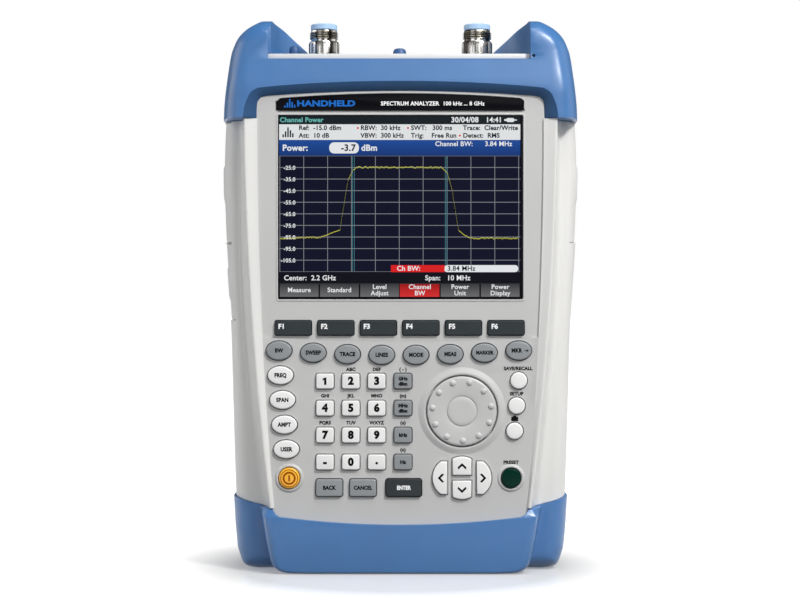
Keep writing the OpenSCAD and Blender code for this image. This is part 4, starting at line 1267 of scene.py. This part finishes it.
def build_screen(sizes):
    """The window's frame and lips, the title bar, the lit panel and all that it shows."""
    rim = prism(moved(rounded_box(131.6, 98.8, 0.5, 2), 0, WINDOW_Z), -30.5, -29.3)
    lit = rounded_box(SCREEN_X[1] - SCREEN_X[0], 97.5, 0.3, 2)
    cut(rim, [prism(moved(lit, (SCREEN_X[0] + SCREEN_X[1]) / 2, WINDOW_Z + 0.5), -40, -29.9)])
    soften(rim, 0.15, 2)
    title = [(66.3, 250), (65.5, 249.2), (-65.5, 249.2), (-66.3, 250), (-66.3, 254.6), (-65, 255.8)]
    title = (title + arch(63.5, 258.5, -2.5, 14) + [(65, 255.8), (66.3, 254.6)])[::-1]
    bar = prism(title, -30.9, -30.15)
    soften(bar, 0.15, 2)
    done(join([rim, bar]), "window_frame", FINISHES["window"], node=["display_window"])
    lip = prism(moved(rounded_box(134.0, 101.2, 1.4, 4), 0, WINDOW_Z), ZONE_Y - 0.3, ZONE_Y + 0.2)
    cut(lip, [prism(moved(rounded_box(132.1, 99.3, 0.6, 3), 0, WINDOW_Z), -40, -20)])
    over = prism(inward(title, -1.0), ZONE_Y - 0.35, ZONE_Y + 0.2)
    cut(over, [prism(inward(title, -0.12), -40, -20)])
    lips = join([soften(lip, 0.25, 3), soften(over, 0.25, 3)])
    done(lips, "window_lips", FINISHES["plate"])
    panel = screen_box(SCREEN_X[0] - 0.02, SCREEN_X[1] + 0.02, SOFT_BAR_Z, SCREEN_TOP, -29.95)
    done(panel, "screen_panel", FINISHES["screen"], node=["lcd_module"])
    ink = {"glow_" + tone: [] for tone in ("white", "yellow", "red", "teal", "dark", "cyan")}
    level = -29.98
    on_box = level - 0.03
    title_face = -30.92

    def write(words, size, x, z, tone, align="LEFT", bold=0.02, y=level):
        ink[tone].append(lettering(words, size, x, z, y, align, bold))

    write("Channel Power", 3.6, -65.0, 244.3, "glow_teal", bold=0.03)
    write("30/04/08", 4.0, 27.2, 244.3, "glow_white", bold=0.03)
    write("14:41", 3.8, 45.9, 244.3, "glow_white", bold=0.03)
    ink["glow_white"] += [screen_box(57.0, 61.2, 243.2, 245.4, level, 0.8),
                          screen_box(61.2, 62.6, 244.0, 244.6, level),
                          screen_box(55.8, 57.0, 243.8, 244.8, level)]
    head = [("Ref:  -15.0 dBm", -54.8, 240.0), ("Att:  10 dB", -54.8, 235.9),
            ("RBW:  30 kHz", -21.5, 240.0), ("VBW:  300 kHz", -21.5, 235.9),
            ("SWT:   300 ms", 5.6, 240.0), ("Trig:    Free Run", 5.6, 235.9),
            ("Trace:  Clear/Write", 33.6, 240.0), ("Detect:  RMS", 33.6, 235.9)]
    for words, x, z in head:
        write(words, 3.5, x, z, "glow_dark", bold=0.03)
    for x, z in ((-23.0, 240.0), (4.0, 240.0), (31.9, 235.9)):
        ink["glow_red"].append(prism(moved(ellipse(1.1, 1.1, 12), x, z), level, level + 0.05))
    # a small spectrum mark at the header's left end
    for i, tall in enumerate((1.6, 3.2, 5.4, 3.8, 2.2)):
        ink["glow_dark"].append(screen_box(-63.6 + i * 1.3, -62.8 + i * 1.3, 235.0, 235.0 + tall, level))
    write("Power:", 4.6, -63.6, 229.2, "glow_white", bold=0.03)
    ink["glow_white"].append(screen_box(-38.4, -22.4, 226.3, 232.3, level, 2.6))
    write("-3.7", 4.9, -24.2, 229.2, "glow_dark", "RIGHT", 0.03, y=on_box)
    write("dBm", 4.6, -21.2, 229.2, "glow_white", bold=0.03)
    write("Channel BW:      3.84 MHz", 3.6, 18.6, 231.4, "glow_white", bold=0.02)
    for i in range(9):
        write("%.1f" % (-25 - 10 * i), 3.0, -56.6, 218.5 - 6.24 * i, "glow_white", "RIGHT", 0.02)
    write("Center:  2.2 GHz", 3.8, -62.8, 159.2, "glow_white")
    write("Span:   10 MHz", 3.8, 13.2, 159.2, "glow_white")
    ink["glow_red"].append(screen_box(-5.2, 23.8, 162.4, 166.2, level))
    ink["glow_white"].append(screen_box(23.4, 63.4, 162.4, 166.2, level, 1.8))
    write("Ch BW:", 3.7, -2.0, 164.3, "glow_white", y=on_box)
    write("3.84 MHz", 3.7, 25.2, 164.3, "glow_dark", y=on_box)
    pitch = (SCREEN_X[1] - SCREEN_X[0]) / 6
    softkeys = ("Measure", "Standard", "Level\nAdjust", "Channel\nBW", "Power\nUnit", "Power\nDisplay")
    for i, words in enumerate(softkeys):
        for j, line in enumerate(words.split("\n")):
            z = (SOFT_BAR_Z + SPAN_ROW_Z) / 2 + (0 if "\n" not in words else 1.7 - 3.4 * j)
            write(line, 3.5, SCREEN_X[0] + pitch * (i + 0.5), z, "glow_white", "CENTER", 0.02)
    for x in (-25.9, -24.9, 24.1, 25.1):
        ink["glow_cyan"].append(screen_box(x - 0.1, x + 0.1, 166.4 if x > 0 else 162.8, 224.6,
                                           level + 0.02))
    # the trace, drawn as a thin ribbon with seeded noise
    rng = random.Random(7)
    count = 520
    points = []
    for i in range(count):
        x = GRAPH[0] + (GRAPH[1] - GRAPH[0]) * i / (count - 1)
        flat = trace_height(x)
        wobble = 0.5 if 181.5 > flat or 218.5 < flat else 0.15
        points.append((x, flat + rng.uniform(-wobble, wobble)))
    half = millimetres(sizes.trace_width) / 2
    low = [(x, level - 0.01, z - half) for x, z in points]
    high = [(x, level - 0.01, z + half) for x, z in points]
    ribbon = loft([high, low], closed=False, ends=False)
    lone(ribbon)
    thick = ribbon.modifiers.new("thick", "SOLIDIFY")
    thick.thickness = 0.03 * MM
    bpy.ops.object.modifier_apply(modifier="thick")
    ink["glow_yellow"].append(ribbon)
    for tone, parts in ink.items():
        done(join(parts), "screen_" + tone[5:] + "_ink", FINISHES[tone])
    words = [lettering("SPECTRUM ANALYZER", 3.0, -10.6, 253.0, title_face, "LEFT", 0.03),
             lettering("100 kHz ... 8 GHz", 2.95, 22.7, 253.0, title_face, "LEFT", 0.03)]
    done(join(words), "title_lettering", FINISHES["white_ink"])
    words = [lettering("HANDHELD", 4.3, -55.8, 253.0, title_face, "LEFT", 0.045, 1.32)]
    for i, tall in enumerate((1.2, 2.6, 4.6, 3.0, 1.6)):
        words.append(prism(moved(rounded_box(0.8, tall, 0.2, 2), -62.2 + 1.3 * i, 250.9 + tall / 2),
                           -30.93, -30.88))
    done(join(words), "title_blue_lettering", FINISHES["blue_ink"])


# ---- connectors ----

def build_connectors():
    """The two RF ports with their plugs, and the rubber caps of the small sockets."""
    bodies, pins = [], []
    for x in (-RF_X, RF_X):
        profile = [(6.4, -2.7), (6.4, 0.05), (8.2, 0.05), (8.4, 0.3), (8.4, 1.2), (7.8, 1.4), (7.8, 3.0),
                   (8.25, 3.2), (8.25, 9.3), (7.9, 9.9), (7.1, 10.0), (7.1, 11.3)]
        level = THREAD_Z
        while level < 15.0:
            profile += [(7.3, level + 0.08), (7.94, level + 0.36), (7.94, level + 0.5), (7.3, level + 0.8)]
            level += THREAD_PITCH
        profile += [(7.3, 15.6), (7.1, 16.1), (6.6, 16.2), (4.5, 16.2), (4.2, 15.9), (4.2, 8.5),
                    (1.6, 8.5), (1.6, -2.7)]
        bodies.append(turned(profile, (x, 0, PANEL_Z), "Z", 72))
        teeth = []
        for i in range(36):
            a = 2 * math.pi * i / 36
            tooth = block((-0.24, 0.24), (-0.22, 0.22), (3.5, 9.0))
            place = Matrix.Translation(Vector((x + 8.12 * math.cos(a), 8.12 * math.sin(a), PANEL_Z)) * MM)
            tooth.data.transform(place @ Matrix.Rotation(a + math.pi / 4, 4, "Z"))
            teeth.append(tooth)
        bodies += teeth
        stem = [(0, -13), (6.2, -13), (6.2, -2.8), (0, -2.8)]
        bodies.append(turned(stem, (x, 0, PANEL_Z), "Z", 48))
        pin = [(0, 8.4), (1.5, 8.4), (1.5, 12.2), (1.2, 12.8), (0, 12.9)]
        pins.append(turned(pin, (x, 0, PANEL_Z), "Z", 24))
    done(join(bodies), "rf_port_barrels", FINISHES["plated"], node=["rf_connectors"],
         angle=35)
    done(join(pins), "rf_port_pins", FINISHES["gold"])
    for name, x in (("rf_cap_left", -RF_X), ("rf_cap_right", RF_X)):
        cap = [(1.7, 9.2), (4.0, 9.2), (4.0, 16.3), (6.9, 16.3), (7.3, 16.7), (7.3, 19.0), (6.9, 19.5),
               (6.2, 19.65), (2.6, 19.65), (2.3, 19.2), (0, 19.2), (0, 14.2), (1.7, 14.2)]
        done(turned(cap, (x, 0, PANEL_Z), "Z", 64), name + "_plug", FINISHES["plug"], name, [name],
             35)
    left = [(0, -6.5), (2.9, -6.5), (2.9, 0.05), (4.9, 0.05), (5.0, 0.4), (5.0, 1.5), (4.6, 1.9),
            (2.8, 2.0), (2.8, 2.6), (2.9, 3.2), (3.0, 5.2), (2.8, 6.8), (2.2, 7.9), (1.2, 8.35), (0, 8.42)]
    middle = [(0, -6.5), (2.9, -6.5), (2.9, 0.05), (6.1, 0.05), (6.3, 0.4), (6.2, 1.2), (5.6, 1.5),
              (4.0, 1.6), (3.8, 3.2), (3.5, 5.0), (2.9, 6.0), (1.9, 6.4), (0, 6.45)]
    caps = [turned(profile, place, "Z", 48)
            for profile, place in ((left, (-59, 4, PANEL_Z)), (middle, (-0.5, 0, PANEL_Z)))]
    done(join(caps), "aux_port_caps", FINISHES["dark_cap"], "aux_caps", ["aux_caps"], 35)


# ---- the stage ----

CAMERA_PLACE = (-0.0003, -1.0345, 0.1474)
CAMERA_SENSOR, CAMERA_LENS = 36, 83.96
FLOOR_SIZE = 30


def build_stage(looks):
    """The camera in front, a pale floor, an even air and soft lamps."""
    scene = bpy.context.scene
    start()
    bpy.ops.object.camera_add(location=CAMERA_PLACE, rotation=(math.pi / 2, 0, 0))
    camera = bpy.context.object
    camera.name = "Camera_front"
    camera.data.sensor_width, camera.data.lens = CAMERA_SENSOR, CAMERA_LENS
    camera.data.clip_start, camera.data.clip_end = 0.01, 60
    scene.camera = camera
    start()
    bpy.ops.mesh.primitive_grid_add(x_subdivisions=8, y_subdivisions=8, size=FLOOR_SIZE)
    floor = bpy.context.object
    floor.name = floor.data.name = "studio_floor"
    f = Finish("Studio_floor")
    cloud = f.noise(3, 2)
    far = f.spread((f.x * f.x + f.y * f.y) ** 0.5, 0.09, 0.15)
    near = (looks.floor_glow,) * 3
    f.set(Base_Color=f.mix(cloud, (0.60, 0.60, 0.60), (0.63, 0.63, 0.63)), Roughness=0.16,
          Emission_Color=f.mix(far, near, (1, 1, 1)), Emission_Strength=1.0)
    floor.data.materials.append(f.material)
    floor.visible_diffuse = False
    world = bpy.data.worlds.new("Studio_air")
    scene.world = world
    world.use_nodes = True
    nodes, links = world.node_tree.nodes, world.node_tree.links
    nodes["Background"].inputs[0].default_value = (1.0, 1.0, 1.0, 1)
    seen = nodes.new("ShaderNodeLightPath")
    blend = nodes.new("ShaderNodeMath")
    blend.operation = "MAXIMUM"
    blend.inputs[1].default_value = looks.air
    links.new(seen.outputs["Is Camera Ray"], blend.inputs[0])
    links.new(blend.outputs[0], nodes["Background"].inputs[1])
    for name, place, size, power, tone in (
            ("Key_light", (0.82, -1.0, 1.25), 0.24, looks.key_power, (1.0, 0.99, 0.97)),
            ("Fill_light", (-1.0, -1.1, 0.5), 1.0, looks.fill_power, (0.97, 0.98, 1.0)),
            ("Front_light", (0.5, -2.0, 1.0), 1.0, looks.front_power, (1.0, 1.0, 1.0)),
            ("Left_panel", (-0.8, 0.1, 0.3), 0.8, looks.side_power * 2, (1.0, 1.0, 1.0)),
            ("Right_panel", (0.8, 0.1, 0.3), 0.8, looks.side_power, (1.0, 1.0, 1.0)),
            ("Top_light", (0.2, -0.45, 1.4), 0.8, looks.top_power, (1.0, 1.0, 1.0))):
        start()
        bpy.ops.object.light_add(type="AREA", location=place)
        light = bpy.context.object
        light.name = name
        light.visible_camera = False
        light.data.size, light.data.energy, light.data.color = size, power, tone
        aim = Vector((0, 0, 0.15)) - Vector(place)
        light.rotation_euler = aim.to_track_quat("-Z", "Y").to_euler()
    scene.view_settings.view_transform = "Standard"


# ---- properties, operators and the panel ----

def tone_of(label, text, value):
    """A property that holds a colour."""
    return bpy.props.FloatVectorProperty(name=label, description=text, default=value, size=3, min=0, max=1,
                                         subtype="COLOR")


class AnalyzerTones(bpy.types.PropertyGroup):
    """Colours of the finishes"""
    shell: tone_of("Case", "Light grey of the case", (0.68, 0.68, 0.67))
    plate: tone_of("Face plate", "Grey of the keypad field and screen surround", (0.505, 0.505, 0.505))
    bumper: tone_of("Bumpers", "Blue of the bumpers", (0.040, 0.147, 0.365))
    white_key: tone_of("White keys", "Digits, cursor and function keys", (0.79, 0.79, 0.79))
    grey_key: tone_of("Grey keys", "Mode and unit keys", (0.25, 0.265, 0.28))
    dark_key: tone_of("Dark keys", "Softkeys and ENTER", (0.021, 0.027, 0.031))
    amber: tone_of("Power key", "Amber of the power key", (0.92, 0.46, 0.03))
    plug: tone_of("Dust plugs", "Pale blue of the RF plugs", (0.35, 0.52, 0.75))
    dark_cap: tone_of("Rubber caps", "Dark blue of the small caps", (0.03, 0.085, 0.22))


def length_of(label, text, value):
    """A property that holds a length in metres."""
    return bpy.props.FloatProperty(name=label, description=text, default=value, min=0, precision=5,
                                   subtype="DISTANCE", unit="LENGTH")


class AnalyzerSizes(bpy.types.PropertyGroup):
    """Gaps, edges and marks"""
    key_gap: length_of("Key gap", "Clearance round each key in its opening", 0.0005)
    flap_gap: length_of("Flap gap", "Clearance round each side flap", 0.00025)
    flap_edge: length_of("Flap edges", "Rounding of the side flaps", 0.00055)
    top_edge: length_of("Upper bumper edges", "Rounding of the upper bumper", 0.00045)
    bottom_edge: length_of("Lower bumper edges", "Rounding of the lower bumper", 0.0005)
    stand_edge: length_of("Stand edges", "Rounding of the tilt stand", 0.0006)
    cover_edge: length_of("Battery cover edges", "Rounding of the battery cover", 0.00045)
    trace_width: length_of("Trace", "Width of the drawn trace on the screen", 0.0004)
    wheel_dots: bpy.props.IntProperty(name="Wheel dots", description="Raised dots round the wheel",
                                      default=11, min=3, max=20)


def power_of(label, text, value):
    """A property that holds a lamp's power."""
    return bpy.props.FloatProperty(name=label, description=text, default=value, min=0, subtype="POWER",
                                   unit="POWER")


class AnalyzerLooks(bpy.types.PropertyGroup):
    """Light of the stage"""
    air: bpy.props.FloatProperty(name="Air", description="Strength of the even light", default=0.14, min=0)
    floor_glow: bpy.props.FloatProperty(name="Floor glow", description="Light that the floor adds",
                                        default=0.24, min=0)
    key_power: power_of("Key light", "Power of the key light", 25)
    fill_power: power_of("Fill light", "Power of the fill light", 3)
    front_power: power_of("Front light", "Power of the raised light in front", 8)
    side_power: power_of("Side panels", "Power of the right panel; the left one has twice as much", 1.6)
    top_power: power_of("Top light", "Power of the light above", 8)


class ANALYZER_OT_finishes(bpy.types.Operator):
    """Makes the finishes and puts them on the CAD nodes that stay"""
    bl_idname = "analyzer.finishes"
    bl_label = "Finishes"

    def execute(self, context):
        FINISHES.update(make_finishes(context.scene.analyzer_tones))
        finish_node("circuit_boards", "board")
        finish_node("keypad_mat", "mat")
        finish_node("battery_pack", "cells")
        finish_node("screws", "steel")
        return {"FINISHED"}


class ANALYZER_OT_case(bpy.types.Operator):
    """Builds the front and rear shells with their openings"""
    bl_idname = "analyzer.case"
    bl_label = "Case"

    def execute(self, context):
        build_front_housing(context.scene.analyzer_sizes)
        build_face_details()
        build_rear_housing(context.scene.analyzer_sizes)
        return {"FINISHED"}


class ANALYZER_OT_flaps(bpy.types.Operator):
    """Builds the covers over the side sockets"""
    bl_idname = "analyzer.flaps"
    bl_label = "Side flaps"

    def execute(self, context):
        build_flaps(context.scene.analyzer_sizes)
        return {"FINISHED"}


class ANALYZER_OT_bumpers(bpy.types.Operator):
    """Builds the two bumpers"""
    bl_idname = "analyzer.bumpers"
    bl_label = "Bumpers"

    def execute(self, context):
        build_top_bumper(context.scene.analyzer_sizes)
        build_bottom_bumper(context.scene.analyzer_sizes)
        return {"FINISHED"}


class ANALYZER_OT_back(bpy.types.Operator):
    """Builds the stand and the battery cover"""
    bl_idname = "analyzer.back"
    bl_label = "Stand and battery cover"

    def execute(self, context):
        build_stand(context.scene.analyzer_sizes)
        build_battery_cover(context.scene.analyzer_sizes)
        return {"FINISHED"}


class ANALYZER_OT_keys(bpy.types.Operator):
    """Builds the key caps, the wheel and the printing on the keys and the face"""
    bl_idname = "analyzer.keys"
    bl_label = "Keys and wheel"

    def execute(self, context):
        build_keys()
        build_wheel(context.scene.analyzer_sizes)
        build_legends()
        return {"FINISHED"}


class ANALYZER_OT_screen(bpy.types.Operator):
    """Builds the window, the lit panel and what it shows"""
    bl_idname = "analyzer.screen"
    bl_label = "Screen"

    def execute(self, context):
        build_screen(context.scene.analyzer_sizes)
        return {"FINISHED"}


class ANALYZER_OT_connectors(bpy.types.Operator):
    """Builds the ports and their caps"""
    bl_idname = "analyzer.connectors"
    bl_label = "Connectors"

    def execute(self, context):
        build_connectors()
        return {"FINISHED"}


class ANALYZER_OT_stage(bpy.types.Operator):
    """Sets the camera, the floor and the studio light"""
    bl_idname = "analyzer.stage"
    bl_label = "Stage"

    def execute(self, context):
        build_stage(context.scene.analyzer_looks)
        return {"FINISHED"}


OPERATORS = [ANALYZER_OT_finishes, ANALYZER_OT_stage, ANALYZER_OT_case, ANALYZER_OT_flaps,
             ANALYZER_OT_bumpers, ANALYZER_OT_back, ANALYZER_OT_keys, ANALYZER_OT_screen,
             ANALYZER_OT_connectors]


class ANALYZER_PT_panel(bpy.types.Panel):
    """Lists the steps and the values that they use"""
    bl_label = "Analyzer"
    bl_space_type = "VIEW_3D"
    bl_region_type = "UI"
    bl_category = "Analyzer"

    def draw(self, context):
        for operator in OPERATORS:
            self.layout.operator(operator.bl_idname)
        scene = context.scene
        for group in (scene.analyzer_sizes, scene.analyzer_tones, scene.analyzer_looks):
            for key in group.__annotations__:
                self.layout.prop(group, key)


CLASSES = [AnalyzerSizes, AnalyzerTones, AnalyzerLooks, *OPERATORS, ANALYZER_PT_panel]


def register():
    for item in CLASSES:
        bpy.utils.register_class(item)
    bpy.types.Scene.analyzer_sizes = bpy.props.PointerProperty(type=AnalyzerSizes)
    bpy.types.Scene.analyzer_tones = bpy.props.PointerProperty(type=AnalyzerTones)
    bpy.types.Scene.analyzer_looks = bpy.props.PointerProperty(type=AnalyzerLooks)


def unregister():
    del bpy.types.Scene.analyzer_looks
    del bpy.types.Scene.analyzer_tones
    del bpy.types.Scene.analyzer_sizes
    for item in reversed(CLASSES):
        bpy.utils.unregister_class(item)


def main():
    register()
    bpy.ops.analyzer.finishes()
    bpy.ops.analyzer.stage()
    bpy.ops.analyzer.case()
    bpy.ops.analyzer.flaps()
    bpy.ops.analyzer.bumpers()
    bpy.ops.analyzer.back()
    bpy.ops.analyzer.keys()
    bpy.ops.analyzer.screen()
    bpy.ops.analyzer.connectors()


if __name__ == "__main__":
    main()
